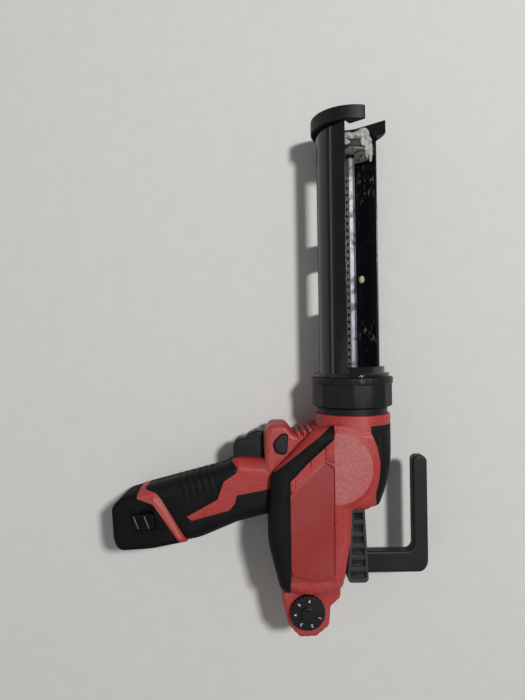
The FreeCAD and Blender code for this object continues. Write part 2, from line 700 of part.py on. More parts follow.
def hook_screw(gap=0.0):
    """Screw through the hook's foot into the rod end grip, grown by a gap for its hole."""
    _, high = grip_edges(HOOK_ARM_AFTER + HOOK_ARM / 2)
    start = V(high - HOOK_SCREW_LENGTH / 2 - gap, hook_middle_y(), 0)
    return cylinder(HOOK_SCREW_RADIUS + gap, start, ALONG_X, HOOK_SCREW_LENGTH + 2 * gap)


def pull_hook():
    """L-shaped arm that pulls the rod back and hangs the tool up."""
    front = GRIP_FRONT_Y - HOOK_ARM_AFTER
    rear = front - HOOK_ARM
    outer = HOOK_INNER_X + HOOK_UPRIGHT
    tip = rear + HOOK_REACH
    corners = [(GRIP_FRONT_LOW, front, 0.0), (HOOK_INNER_X, front, 6.0), (HOOK_INNER_X, tip, 5.0),
               (outer, tip, 6.0), (outer, rear, 9.0), (GRIP_FRONT_LOW, rear, 0.0)]
    arm = pad(corners, HOOK_HALF_THICKNESS, HOOK_EDGE)
    return one_solid(cut_each(arm, [rod_end_blank(), hook_screw(SEAT_FIT)]))


# Carriage, collar and spigot
def rod_passage(start, end, gap):
    """Clear way for the rod between two places along the barrel."""
    half = RACK_WIDTH / 2 + gap
    return box(V(RACK_TIP_X - gap, start, -half), V(RACK_BACK_X + gap, end, half))


def threaded_spigot():
    """Black ring in front of the neck that carries the collar and guides the rod."""
    plug = barrel(PLUG_RADIUS, -PLUG_LENGTH, 0)
    flange = barrel(SPIGOT_FLANGE_RADIUS, 0, SPIGOT_FLANGE)
    sleeve = barrel(SPIGOT_RADIUS, SPIGOT_FLANGE, SPIGOT_LENGTH)
    room = barrel(BORE_RADIUS, SPIGOT_WEB, SPIGOT_LENGTH)
    passage = rod_passage(-PLUG_LENGTH, SPIGOT_FLANGE, RUNNING_GAP)
    return one_solid(cut_each(fuse_all([plug, flange, sleeve]), [room, passage]))


def retaining_collar():
    """Faceted nut that holds the carriage ring against the spigot."""
    lip_start = COLLAR_END_Y - COLLAR_LIP
    corner = COLLAR_RADIUS - COLLAR_FACET_DROP
    points = [V(corner * math.cos(2 * math.pi * i / COLLAR_FACETS), COLLAR_START,
                corner * math.sin(2 * math.pi * i / COLLAR_FACETS)) for i in range(COLLAR_FACETS + 1)]
    body = Part.Face(Part.makePolygon(points)).extrude(ALONG_Y * (lip_start - COLLAR_START))
    narrow = COLLAR_RADIUS - COLLAR_TAPER
    rounding = Part.makeCone(narrow, narrow + COLLAR_LENGTH, COLLAR_LENGTH, V(0, COLLAR_START, 0), ALONG_Y)
    lip = barrel(COLLAR_RADIUS, lip_start, COLLAR_END_Y)
    lip = lip.makeChamfer(COLLAR_EDGE, [edge for edge in lip.Edges if edge.Closed])
    inside = [barrel(SPIGOT_RADIUS + RUNNING_GAP, COLLAR_START, lip_start),
              barrel(RING_RADIUS + RUNNING_GAP, COLLAR_START, COLLAR_END_Y)]
    return one_solid(fuse_all([body.common(rounding), lip]).cut(inside))


def carriage_ring():
    """Flanged ring trapped under the collar's lip, on which the carriage turns."""
    start = SPIGOT_LENGTH + RUNNING_GAP
    flange_end = COLLAR_END_Y - COLLAR_LIP - RUNNING_GAP
    flange = barrel(RING_FLANGE_RADIUS, start, flange_end)
    sleeve = barrel(RING_RADIUS, start, TROUGH_START_Y)
    return one_solid(flange.fuse(sleeve).cut(barrel(BORE_RADIUS, start, TROUGH_START_Y)))


def turned_to_opening(shape):
    """Turn a shape made with its opening towards +Z to the carriage's resting angle."""
    shape.rotate(ORIGIN, ALONG_Y, OPENING_TURN)
    return shape


def trough_section(outer, rise, start, end):
    """Solid U with its open side towards +Z."""
    round_part = barrel(outer, start, end)
    walls = box(V(-outer, start, 0), V(outer, end, rise))
    below = box(V(-outer, start, -outer), V(outer, end, 0))
    return round_part.common(below).fuse(walls)


def carriage_trough():
    """Open trough for the cartridge with a ring at its rear end and two windows."""
    body_start = TROUGH_START_Y + TROUGH_FLANGE
    trough_start = body_start + TROUGH_RING
    outer = trough_section(TROUGH_RADIUS, TROUGH_RISE, body_start, TROUGH_END_Y)
    inner = trough_section(TROUGH_RADIUS - TROUGH_WALL, TROUGH_RISE, body_start, TROUGH_END_Y)
    flange = barrel_tube(TROUGH_FLANGE_RADIUS, BORE_RADIUS, TROUGH_START_Y, body_start)
    flange_rim = barrel_tube(TROUGH_RADIUS, BORE_RADIUS, body_start, trough_start)
    windows = []
    for start, end in WINDOW_SPANS:
        corners = [(-WINDOW_WIDTH / 2, start, WINDOW_CORNER), (WINDOW_WIDTH / 2, start, WINDOW_CORNER),
                   (WINDOW_WIDTH / 2, end, WINDOW_CORNER), (-WINDOW_WIDTH / 2, end, WINDOW_CORNER)]
        windows.append(prism(corners, -2 * TROUGH_RADIUS, 0))
    trough = outer.cut([inner] + windows)
    return turned_to_opening(one_solid(fuse_all([trough, flange, flange_rim])))


def front_cap():
    """Cup on the front of the trough with a flared slot for the nozzle."""
    web_start = TROUGH_END_Y + CAP_WEB
    start = web_start - CAP_DEPTH
    cap = barrel(CAP_RADIUS, start, web_start)
    cap = cap.makeFillet(CAP_EDGE, [edge for edge in cap.Edges if edge.Closed])
    seat = trough_section(TROUGH_RADIUS + SEAT_FIT, TROUGH_RISE + SEAT_FIT, start, TROUGH_END_Y)
    flare_end = 2 * CAP_RADIUS
    flare_half = NOZZLE_RADIUS + (flare_end - SLOT_STRAIGHT) * math.tan(SLOT_FLARE)
    points = [(-NOZZLE_RADIUS, 0), (NOZZLE_RADIUS, 0), (NOZZLE_RADIUS, SLOT_STRAIGHT),
              (flare_half, flare_end), (-flare_half, flare_end), (-NOZZLE_RADIUS, SLOT_STRAIGHT)]
    outline = Part.makePolygon([V(x, start, z) for x, z in points + points[:1]])
    slot = Part.Face(outline).extrude(ALONG_Y * CAP_DEPTH)
    return turned_to_opening(one_solid(cap.cut([seat, slot, barrel(NOZZLE_RADIUS, start, web_start)])))


# Gears, shafts and motor
def rack_pinion():
    """Spur gear that drives the rod, with a gap facing the rod's tooth."""
    gear = spur_gear(RACK_MODULE, PINION_TEETH, PINION_WIDTH, 0.0)
    gear.translate(SHAFT_AT)
    bore = cylinder(SHAFT_RADIUS + SEAT_FIT, SHAFT_AT - ALONG_Z * PINION_WIDTH, ALONG_Z, 2 * PINION_WIDTH)
    return one_solid(gear.cut(bore))


def bevel_gear():
    """Large bevel gear on the cross shaft, beside the rack pinion."""
    length = bevel_cone_length()
    blank = bevel_blank(length, gear_cone(), BEVEL_BACK, SHAFT_RADIUS + SEAT_FIT)
    heading = math.atan2(MOTOR_AXIS.y, MOTOR_AXIS.x)
    teeth = bevel_teeth(BEVEL_GEAR_TEETH, gear_cone(), length, heading + math.pi / BEVEL_GEAR_TEETH)
    gear = blank.multiFuse(teeth)
    gear.translate(SHAFT_AT)
    return one_solid(gear)


def bevel_pinion():
    """Small bevel gear on the output shaft of the gearbox."""
    length = bevel_cone_length()
    cone = math.pi / 2 - gear_cone()
    back = GEARBOX_START - RUNNING_GAP - cone_point(length, -BEVEL_DEDENDUM * BEVEL_MODULE, cone)[1]
    blank = bevel_blank(length, cone, back, 0.0)
    shaft = cylinder(OUTPUT_RADIUS, ALONG_Z * (GEARBOX_START - OUTPUT_LEAD), ALONG_Z, GEARBOX_LENGTH / 2)
    pinion = blank.multiFuse(bevel_teeth(BEVEL_PINION_TEETH, cone, length, 0.0) + [shaft])
    up_to_gear = FreeCAD.Rotation(ALONG_Z, MOTOR_SIDE.negative(), MOTOR_AXIS, "ZXY")
    pinion.Placement = FreeCAD.Placement(SHAFT_AT, up_to_gear)
    return one_solid(pinion)


def bearing_spans():
    """Inner and outer heights of the two cross-shaft bearings, right then left."""
    right = -PINION_WIDTH / 2 - PINION_SPACER
    left = bevel_back_z() + BEVEL_SPACER
    return ((right - BEARING_WIDTH, right), (left, left + BEARING_WIDTH))


def pinion_shaft():
    """Cross shaft that carries the rack pinion and the bevel gear."""
    (low, _), (_, high) = bearing_spans()
    start = low - SHAFT_OVERHANG
    return cylinder(SHAFT_RADIUS, SHAFT_AT + ALONG_Z * start, ALONG_Z, high + SHAFT_OVERHANG - start)


def shaft_bearings():
    """The two bearings of the cross shaft."""
    rings = [tube(BEARING_RADIUS, SHAFT_RADIUS + SHAFT_FIT, SHAFT_AT + ALONG_Z * low, ALONG_Z, high - low)
             for low, high in bearing_spans()]
    return Part.makeCompound(rings)


def output_bearing():
    """Bearing of the bevel pinion in the front of the gearbox."""
    return tube(OUTPUT_BEARING_RADIUS, OUTPUT_RADIUS + SHAFT_FIT, on_motor(GEARBOX_START), MOTOR_AXIS,
                BEARING_WIDTH)


def gearbox_case():
    """Closed reduction gearbox with a ribbed shoulder."""
    end = GEARBOX_START + GEARBOX_LENGTH
    neck_radius = OUTPUT_BEARING_RADIUS + BEARING_WALL
    neck = cylinder(neck_radius, on_motor(GEARBOX_START), MOTOR_AXIS, GEARBOX_LENGTH)
    drum = cylinder(GEARBOX_RADIUS, on_motor(GEARBOX_START + GEARBOX_NECK), MOTOR_AXIS,
                    GEARBOX_LENGTH - GEARBOX_NECK)
    seat = cylinder(OUTPUT_BEARING_RADIUS + SEAT_FIT, on_motor(GEARBOX_START), MOTOR_AXIS, BEARING_WIDTH)
    room = cylinder(OUTPUT_RADIUS + RUNNING_GAP, on_motor(GEARBOX_START), MOTOR_AXIS, GEARBOX_LENGTH / 2)
    groove_at = on_motor(end - GEARBOX_GROOVE_AT)
    groove_floor = GEARBOX_RADIUS - GEARBOX_GROOVE_DEPTH
    groove = tube(2 * GEARBOX_RADIUS, groove_floor, groove_at, MOTOR_AXIS, GEARBOX_GROOVE_WIDTH)
    return one_solid(neck.fuse(drum).cut([seat, room, groove]))


def motor_can():
    """Round motor body against the back of the gearbox."""
    start = GEARBOX_START + GEARBOX_LENGTH
    can = cylinder(MOTOR_RADIUS, on_motor(start), MOTOR_AXIS, MOTOR_LENGTH)
    return can.makeFillet(MOTOR_EDGE, [edge for edge in can.Edges if edge.Closed])


def motor_end_cap():
    """Insulating cap with two terminals on the back of the motor."""
    start = GEARBOX_START + GEARBOX_LENGTH + MOTOR_LENGTH
    cap = cylinder(END_CAP_RADIUS, on_motor(start), MOTOR_AXIS, END_CAP_DISC)
    tags = []
    corner = V(TAG_THICKNESS / 2, END_CAP_LENGTH, TAG_WIDTH / 2)
    for sideways in (-TAG_OFFSET, TAG_OFFSET):
        tag = box(V(-corner.x, 0, -corner.z), corner)
        tag.rotate(ORIGIN, ALONG_Z, 180 - math.degrees(MOTOR_TILT))
        tag.translate(on_motor(start, sideways))
        tags.append(tag)
    return one_solid(fuse_all([cap] + tags))


def rod_shoe():
    """Low-friction block that backs the rod opposite the pinion."""
    start = RACK_BACK_X + RUNNING_GAP
    half = RACK_WIDTH / 2
    return box(V(start, SHAFT_Y - SHOE_LENGTH / 2, -half),
               V(start + SHOE_THICKNESS, SHAFT_Y + SHOE_LENGTH / 2, half))


def guide_block(gap):
    """Outside of the rear rod guide, grown by a gap for its pocket."""
    half = RACK_WIDTH / 2 + GUIDE_WALL + gap
    return box(V(RACK_TIP_X - GUIDE_WALL - gap, REAR_WALL_Y, -half),
               V(RACK_BACK_X + GUIDE_WALL + gap, REAR_WALL_Y + GUIDE_LENGTH + gap, half))


def rear_rod_guide():
    """Bush in the rear wall that the rod slides through."""
    passage = rod_passage(REAR_WALL_Y, REAR_WALL_Y + GUIDE_LENGTH, RUNNING_GAP)
    return one_solid(guide_block(0.0).cut(passage))


# Controls
def trigger():
    """Two-step finger trigger with a plunger into the switch."""
    body = pad(TRIGGER_OUTLINE, TRIGGER_HALF, 0.0)
    outer = [edge for edge in rim_edges(body, (-TRIGGER_HALF, TRIGGER_HALF))
             if edge.BoundBox.YMin > TRIGGER_BACK_Y + 1]
    body = body.makeChamfer(TRIGGER_EDGE, outer)
    middle = (TRIGGER_TOP_X + TRIGGER_LOW_X) / 2
    plunger = box(V(middle - PLUNGER_HALF, TRIGGER_BACK_Y - PLUNGER_LENGTH, -PLUNGER_HALF),
                  V(middle + PLUNGER_HALF, TRIGGER_BACK_Y, PLUNGER_HALF))
    return one_solid(body.fuse(plunger))


def trigger_slot():
    """Way for the trigger into the handle over its travel."""
    gap = RUNNING_GAP
    return box(V(TRIGGER_LOW_X - gap, SWITCH_FRONT_Y, -TRIGGER_HALF - gap),
               V(TRIGGER_TOP_X + gap, 0, TRIGGER_HALF + gap))


def switch_block(gap):
    """Outside of the trigger switch, grown by a gap for its pocket."""
    return box(V(TRIGGER_LOW_X - gap, SWITCH_FRONT_Y - SWITCH_DEPTH - gap, -SWITCH_HALF - gap),
               V(TRIGGER_TOP_X + gap, SWITCH_FRONT_Y, SWITCH_HALF + gap))


def trigger_switch():
    """Sealed switch with a socket for the trigger's plunger."""
    middle = (TRIGGER_TOP_X + TRIGGER_LOW_X) / 2
    half = PLUNGER_HALF + RUNNING_GAP
    depth = PLUNGER_LENGTH + TRIGGER_TRAVEL + RUNNING_GAP
    socket = box(V(middle - half, TRIGGER_BACK_Y - depth, -half), V(middle + half, SWITCH_FRONT_Y, half))
    return one_solid(switch_block(0.0).cut(socket))


def lock_bar(gap, half_length):
    """D-shaped bar through the nose, grown by a gap for its hole."""
    return prism(shrunk(LOCK_OUTLINE, -gap) if gap else LOCK_OUTLINE, -half_length, half_length)


def lock_button():
    """Push-through lock-off button."""
    half = NOSE_HALF + LOCK_PROUD
    bar = lock_bar(0.0, half)
    return bar.makeChamfer(LOCK_EDGE, rim_edges(bar, (-half, half)))


def speed_dial():
    """Notched dial with a raised hub, on a stem into its sensor."""
    centre = V(DIAL_X, DIAL_Y, TAIL_HALF + RUNNING_GAP)
    disc = cylinder(DIAL_RADIUS, centre, ALONG_Z, DIAL_HEIGHT)
    disc = disc.makeChamfer(DIAL_EDGE, rim_edges(disc, (centre.z + DIAL_HEIGHT,)))
    hub_height = DIAL_HEIGHT + DIAL_HUB_HEIGHT
    hub = cylinder(DIAL_HUB_RADIUS, centre, ALONG_Z, hub_height)
    hub = hub.makeFillet(DIAL_HUB_EDGE, rim_edges(hub, (centre.z + hub_height,)))
    stem = cylinder(DIAL_STEM_RADIUS, centre - ALONG_Z * DIAL_STEM_LENGTH, ALONG_Z, DIAL_STEM_LENGTH)
    notches = []
    for i in range(DIAL_NOTCHES):
        angle = 2 * math.pi * i / DIAL_NOTCHES
        edge = centre + V(math.cos(angle), math.sin(angle), 0) * DIAL_RADIUS
        notches.append(cylinder(DIAL_NOTCH_RADIUS, edge, ALONG_Z, DIAL_HEIGHT))
    return one_solid(fuse_all([disc, hub, stem]).cut(notches))


def dial_sensor():
    """Potentiometer under the dial, standing on the board."""
    half = SENSOR_SIZE / 2
    top = TAIL_HALF + RUNNING_GAP - DIAL_STEM_LENGTH / 2
    foot = BOARD_Z + BOARD_THICKNESS
    body = box(V(DIAL_X - half, DIAL_Y - half, foot), V(DIAL_X + half, DIAL_Y + half, top))
    floor = V(DIAL_X, DIAL_Y, top - DIAL_STEM_LENGTH / 2 - RUNNING_GAP)
    bore = cylinder(DIAL_STEM_RADIUS + SHAFT_FIT, floor, ALONG_Z, DIAL_STEM_LENGTH)
    return one_solid(body.cut(bore))


def control_board():
    """Circuit board in the tail."""
    return box(V(BOARD_LOW_X, DIAL_Y - BOARD_BEHIND_DIAL, BOARD_Z),
               V(BOARD_HIGH_X, DIAL_Y + BOARD_BEFORE_DIAL, BOARD_Z + BOARD_THICKNESS))


def board_posts():
    """Posts of the right housing half that the board lies on."""
    radius = BOARD_POST_RADIUS
    front = DIAL_Y + BOARD_BEFORE_DIAL - radius
    rear = DIAL_Y - BOARD_BEHIND_DIAL + radius
    places = ((BOARD_LOW_X + radius, front), (BOARD_HIGH_X - radius, front),
              ((BOARD_LOW_X + BOARD_HIGH_X) / 2, rear))
    return [cylinder(radius, V(x, y, -TAIL_HALF), ALONG_Z, TAIL_HALF + BOARD_Z) for x, y in places]


# Battery
def battery_side(gap):
    """Everything past the line where the battery base meets the handle's rim."""
    shift = HANDLE_AXIS * gap
    line = [(x + shift.x, y + shift.y) for x, y in PARTING]
    return region(line + [(-BEYOND, line[-1][1] - BEYOND), (-BEYOND, line[0][1] + BEYOND)])


def stem(gap):
    """Part of the battery that goes into the handle, grown by a gap for its way in."""
    depth = STEM_HALF_DEPTH + gap
    width = STEM_HALF_WIDTH + gap
    start = on_handle(STEM_START - gap)
    corners = [(-depth, -width, STEM_CORNER), (depth, -width, STEM_CORNER), (depth, width, STEM_CORNER),
               (-depth, width, STEM_CORNER)]
    solid = prism(corners, 0, STEM_END - STEM_START + gap)
    facing = FreeCAD.Rotation(HANDLE_SIDE, ALONG_Z, HANDLE_AXIS, "ZXY")
    solid.Placement = FreeCAD.Placement(start, facing)
    return solid


def latch_outline(grown):
    """Outline of a latch button, grown for its pocket."""
    half_length = LATCH_LENGTH / 2 + grown
    half_width = LATCH_WIDTH / 2 + grown
    signs = ((-1, -1), (1, -1), (1, 1), (-1, 1))
    return [(LATCH_X + i * half_length, LATCH_Y + j * half_width, LATCH_CORNER) for i, j in signs]


def battery_latch(side):
    """Ribbed latch button on one side of the battery base."""
    top = BASE_HALF + LATCH_PROUD
    button = prism(latch_outline(0.0), top - LATCH_DEPTH, top)
    button = button.makeChamfer(LATCH_EDGE, rim_edges(button, (top,)))
    reach = LATCH_WIDTH / 2 - LATCH_GROOVE
    cuts = []
    for rib in range(LATCH_RIBS + 1):
        x = LATCH_X + (rib - LATCH_RIBS / 2) * LATCH_LENGTH / (LATCH_RIBS + 2)
        groove = box(V(-LATCH_GROOVE / 2, -reach, top - LATCH_GROOVE_DEPTH),
                     V(LATCH_GROOVE / 2, reach, 2 * top))
        groove.rotate(ORIGIN, ALONG_Z, LATCH_SLANT)
        groove.translate(V(x, LATCH_Y, 0))
        cuts.append(groove)
    button = one_solid(button.cut(cuts))
    return button if side > 0 else button.mirror(ORIGIN, ALONG_Z)


def battery_blades(gap):
    """Contact blades between the handle and the battery, grown by a gap for their slots."""
    blades = []
    for offset in BLADE_OFFSETS:
        start = on_handle(TERMINAL_LENGTH - BLADE_ROOT, offset)
        blade = box(V(-BLADE_THICKNESS / 2 - gap, 0, -BLADE_WIDTH / 2 - gap),
                    V(BLADE_THICKNESS / 2 + gap, BLADE_REACH + gap, BLADE_WIDTH / 2 + gap))
        blade.rotate(ORIGIN, ALONG_Z, 90 + math.degrees(HANDLE_TILT))
        blade.translate(start)
        blades.append(blade)
    return blades


def battery_pack():
    """Battery base that ends the handle, with the stem that goes into it."""
    base = pad(BASE_OUTLINE, BASE_HALF, BASE_EDGE).common(battery_side(RUNNING_GAP))
    floor = BASE_HALF + LATCH_PROUD - LATCH_DEPTH - LATCH_TRAVEL - RUNNING_GAP
    pocket = prism(latch_outline(RUNNING_GAP), floor, 2 * BASE_HALF)
    cuts = [pocket, pocket.mirror(ORIGIN, ALONG_Z)] + battery_blades(RUNNING_GAP)
    return one_solid(base.fuse(stem(0.0)).cut(cuts))


def terminal_block():
    """Insulating block that holds the contact blades."""
    block = slanted_box(on_handle, 0, TERMINAL_LENGTH, TERMINAL_HALF_DEPTH, TERMINAL_HALF_WIDTH)
    return one_solid(block.cut(battery_blades(0.0)))


def contact_blades():
    """The contact blades by themselves."""
    return Part.makeCompound(battery_blades(0.0))


# Housing
def screw_hole(place, radius):
    """Round hole along Z at a screw's place."""
    return cylinder(radius, V(place[0], place[1], -BEYOND), ALONG_Z, 2 * BEYOND)


def screw_seat(place):
    """Height of the underside of a screw's head, on the right side."""
    return -place[2] + SCREW_SINK + SCREW_HEAD_HEIGHT


def housing_screws():
    """All housing screws, driven in from the right side."""
    screws = []
    for place in SCREW_PLACES:
        seat = screw_seat(place)
        at = V(place[0], place[1], 0)
        top = at + ALONG_Z * (seat - SCREW_HEAD_HEIGHT)
        head = cylinder(SCREW_HEAD_RADIUS, top, ALONG_Z, SCREW_HEAD_HEIGHT)
        shank = cylinder(SCREW_RADIUS, at + ALONG_Z * seat, ALONG_Z, SCREW_GRIP - seat)
        recess = cylinder(SCREW_DRIVE_RADIUS, top, ALONG_Z, SCREW_DRIVE_DEPTH)
        screws.append(one_solid(head.fuse(shank).cut(recess)))
    return Part.makeCompound(screws)


def screw_holes():
    """Room for the screws in the housing and its over-moulds."""
    holes = []
    for place in SCREW_PLACES:
        at = V(place[0], place[1], 0)
        below = at - ALONG_Z * BEYOND
        shank = cylinder(SCREW_RADIUS + SEAT_FIT, below, ALONG_Z, BEYOND + SCREW_GRIP)
        head = cylinder(SCREW_HEAD_RADIUS + SEAT_FIT, below, ALONG_Z, BEYOND + screw_seat(place))
        holes.append(shank.fuse(head))
    return Part.makeCompound(holes)


def side_frame(corners, index):
    """Start, direction, outward direction and length of one side of an outline."""
    points = [V(x, y, 0) for x, y, _ in corners]
    start = points[index]
    end = points[(index + 1) % len(points)]
    along = (end - start).normalize()
    area = sum(points[i - 1].cross(points[i]).z for i in range(len(points)))
    outward = V(along.y, -along.x, 0) if area > 0 else V(-along.y, along.x, 0)
    return start, along, outward, start.distanceToPoint(end)


def bar_across(middle, along, outward, width, back, proud):
    """Corners of a bar that crosses a side of an outline."""
    half = along * (width / 2)
    points = [middle - half - outward * back, middle + half - outward * back,
              middle + half + outward * proud, middle - half + outward * proud]
    return [(point.x, point.y, 0.0) for point in points]


def neck_form(inset):
    """Round neck about the barrel axis that tapers to the rear wall, shrunk by the inset."""
    front = -inset
    rear = REAR_WALL_Y + inset
    radius = NECK_RADIUS - inset
    corners = [V(0, rear, 0), V(0, front, 0), V(radius - NECK_EDGE, front, 0),
               V(radius, front - NECK_EDGE, 0), V(radius, -NECK_STRAIGHT, 0)]
    rear_rim = V(NECK_REAR_RADIUS - inset, rear, 0)
    waist = V(NECK_WAIST_RADIUS - inset, (rear - NECK_STRAIGHT) / 2, 0)
    edges = [Part.makeLine(start, end) for start, end in zip(corners, corners[1:])]
    edges += [Part.Arc(corners[-1], waist, rear_rim).toShape(), Part.makeLine(rear_rim, corners[0])]
    solid = Part.Face(Part.Wire(edges)).revolve(ORIGIN, ALONG_Y, 360)
    solid.rotate(ORIGIN, ALONG_Y, SEAM_TURN)
    return solid


def plateau_form(inset):
    """Flat boss and panel on both sides, up to the straight inner edge of the bumper."""
    depth = PLATEAU_HALF - inset
    boss = cylinder(PLATEAU_RADIUS - inset, SHAFT_AT - ALONG_Z * depth, ALONG_Z, 2 * depth)
    if inset < PLATEAU_EDGE:
        boss = boss.makeFillet(PLATEAU_EDGE - inset, rim_edges(boss, (-depth, depth)))
    panel = pad(PANEL_OUTLINE, PLATEAU_HALF, PLATEAU_EDGE, inset)
    edge = shrunk([(x, y, 0.0) for x, y in BUMPER_REGION], -inset)
    return boss.fuse(panel).cut(prism(edge, -BEYOND, BEYOND))


def outer_form(inset):
    """The housing's outside as a union of its zones, each shrunk by the inset."""
    body = pad(BODY_OUTLINE, BODY_HALF, BODY_EDGE, inset)
    tail = pad(TAIL_OUTLINE, TAIL_HALF, TAIL_EDGE, inset)
    nose = pad(NOSE_OUTLINE, NOSE_HALF, NOSE_EDGE, inset)
    handle = pad(HANDLE_OUTLINE, HANDLE_HALF, HANDLE_EDGE, inset).cut(battery_side(0.0))
    return fuse_all([neck_form(inset), body, plateau_form(inset), tail, nose, handle])


def vent_ridges():
    """Short ridges over the front edge of the nose."""
    start, along, outward, length = side_frame(NOSE_OUTLINE, VENT_SIDE)
    ridges = []
    for ridge in range(VENT_COUNT):
        middle = start + along * (length * VENT_SHARE + (ridge - (VENT_COUNT - 1) / 2) * VENT_PITCH)
        corners = bar_across(middle, along, outward, VENT_WIDTH, VENT_REACH, VENT_PROUD)
        ridges.append(pad(corners, NOSE_HALF + VENT_RISE, VENT_EDGE))
    return ridges


def tail_scallops():
    """Round cuts in the rim of the tail, beside the dial."""
    cuts = []
    for index in SCALLOPED_SIDES:
        start, along, outward, length = side_frame(TAIL_OUTLINE, index)
        for share in SCALLOP_SHARES:
            middle = start + along * (length * share) + outward * (SCALLOP_RADIUS - SCALLOP_DEPTH)
            cuts.append(cylinder(SCALLOP_RADIUS, middle - ALONG_Z * BEYOND, ALONG_Z, 2 * BEYOND))
    return cuts


def finger_grooves():
    """Shallow grooves between the finger ribs of the handle."""
    start, along, outward, _ = side_frame(HANDLE_OUTLINE, RIBBED_SIDE)
    floor = pad(HANDLE_OUTLINE, HANDLE_HALF, HANDLE_EDGE, RIB_DEPTH)
    cuts = []
    for rib in range(RIB_COUNT):
        middle = start + along * (RIB_START + rib * RIB_PITCH)
        corners = bar_across(middle, along, outward, RIB_GAP, RIB_REACH, RIB_REACH)
        cuts.append(prism(corners, -BEYOND, BEYOND).cut(floor))
    return cuts


def panel_cuts():
    """Grooves and the sunk step in the panel, on both sides."""
    step = [(x, y, 0.0) for x, y in PANEL_STEP]
    cuts = [prism(step, PLATEAU_HALF - STEP_DEPTH, PLATEAU_HALF + STEP_DEPTH)]
    for line in PANEL_GROOVES:
        for (x, y), (next_x, next_y) in zip(line, line[1:]):
            length = math.hypot(next_x - x, next_y - y) + GROOVE_WIDTH
            along = V(next_x - x, next_y - y, 0).normalize()
            across = V(-along.y, along.x, 0)
            middle = V(x + next_x, y + next_y, 0) / 2
            corners = bar_across(middle, along, across, length, GROOVE_WIDTH / 2, GROOVE_WIDTH / 2)
            cuts.append(prism(corners, PLATEAU_HALF - GROOVE_DEPTH, PLATEAU_HALF + GROOVE_DEPTH))
    return cuts + [cut.mirror(ORIGIN, ALONG_Z) for cut in cuts]


def handle_rim():
    """Raised rim of the handle around the battery base."""
    return pad(BASE_OUTLINE, BASE_HALF, BASE_EDGE).common(region(RIM_START + PARTING[::-1]))


def cradle_ribs():
    """Ribs inside the housing that carry the drive, the controls and the battery's stem."""
    ribs = []
    gearbox_end = GEARBOX_START + GEARBOX_LENGTH
    motor_end = gearbox_end + MOTOR_LENGTH
    stations = (
        (GEARBOX_START + CRADLE_SETBACK, GEARBOX_RADIUS),
        (gearbox_end - 2 * CRADLE_THICKNESS, GEARBOX_RADIUS),
        (gearbox_end + CRADLE_SETBACK, MOTOR_RADIUS), (motor_end - CRADLE_SETBACK, MOTOR_RADIUS))
    for start, radius in stations:
        ribs.append(slanted_box(on_motor, start, start + CRADLE_THICKNESS, radius + CRADLE_REACH, BODY_HALF))
    (_, right), (left, _) = bearing_spans()
    boss_radius = BEARING_RADIUS + BEARING_WALL
    ribs.append(cylinder(boss_radius, SHAFT_AT - ALONG_Z * PLATEAU_HALF, ALONG_Z, PLATEAU_HALF + right))
    ribs.append(cylinder(boss_radius, SHAFT_AT + ALONG_Z * left, ALONG_Z, PLATEAU_HALF - left))
    shoe = rod_shoe().BoundBox
    ribs.append(box(V(shoe.XMax, shoe.YMin, -BODY_HALF), V(shoe.XMax + BODY_HALF, shoe.YMax, BODY_HALF)))
    guide = guide_block(CRADLE_REACH).BoundBox
    ribs.append(box(V(guide.XMin, guide.YMin, -BODY_HALF), V(guide.XMax, guide.YMax, BODY_HALF)))
    ribs.append(barrel(NECK_RADIUS, -PLUG_LENGTH, 0))
    switch_back = SWITCH_FRONT_Y - SWITCH_DEPTH - CRADLE_REACH
    for share in (0.25, 0.75):
        x = TRIGGER_LOW_X + (TRIGGER_TOP_X - TRIGGER_LOW_X) * share
        ribs.append(box(V(x - CRADLE_THICKNESS / 2, switch_back, -HANDLE_HALF),
                        V(x + CRADLE_THICKNESS / 2, SWITCH_FRONT_Y, HANDLE_HALF)))
    for start in [-CRADLE_THICKNESS] + [STEM_START + along for along in STEM_RIBS]:
        end = start + CRADLE_THICKNESS
        ribs.append(slanted_box(on_handle, start, end, 2 * STEM_HALF_DEPTH, HANDLE_HALF))
    for place in SCREW_PLACES:
        ribs.append(screw_hole(place, SCREW_RADIUS + SCREW_WALL))
    return ribs + board_posts()


def inner_pockets():
    """Seats of the inner pieces, and the ways of the moving ones, cut out of walls and ribs."""
    gearbox_end = GEARBOX_START + GEARBOX_LENGTH
    room = BEYOND / 4
    pockets = [
        cylinder(GEARBOX_RADIUS + SEAT_FIT, on_motor(GEARBOX_START), MOTOR_AXIS, GEARBOX_LENGTH),
        cylinder(MOTOR_RADIUS + SEAT_FIT, on_motor(gearbox_end), MOTOR_AXIS, MOTOR_LENGTH + END_CAP_LENGTH),
        barrel(PLUG_RADIUS + SEAT_FIT, -PLUG_LENGTH, 0), guide_block(SEAT_FIT),
        rod_passage(REAR_WALL_Y - room, 0, RUNNING_GAP), trigger_slot(), switch_block(SEAT_FIT),
        lock_bar(RUNNING_GAP, room), stem(RUNNING_GAP),
        slanted_box(on_handle, 0, TERMINAL_LENGTH, TERMINAL_HALF_DEPTH + SEAT_FIT,
                    TERMINAL_HALF_WIDTH + SEAT_FIT),
        cylinder(DIAL_STEM_RADIUS + RUNNING_GAP, V(DIAL_X, DIAL_Y, 0), ALONG_Z, room)]
    (low, _), (_, high) = bearing_spans()
    for start, end in bearing_spans():
        pockets.append(cylinder(BEARING_RADIUS + SEAT_FIT, SHAFT_AT + ALONG_Z * start, ALONG_Z, end - start))
    start = low - SHAFT_OVERHANG - SHAFT_ROOM
    end = high + SHAFT_OVERHANG + SHAFT_ROOM
    pockets.append(cylinder(SHAFT_RADIUS + SHAFT_ROOM, SHAFT_AT + ALONG_Z * start, ALONG_Z, end - start))
    return pockets


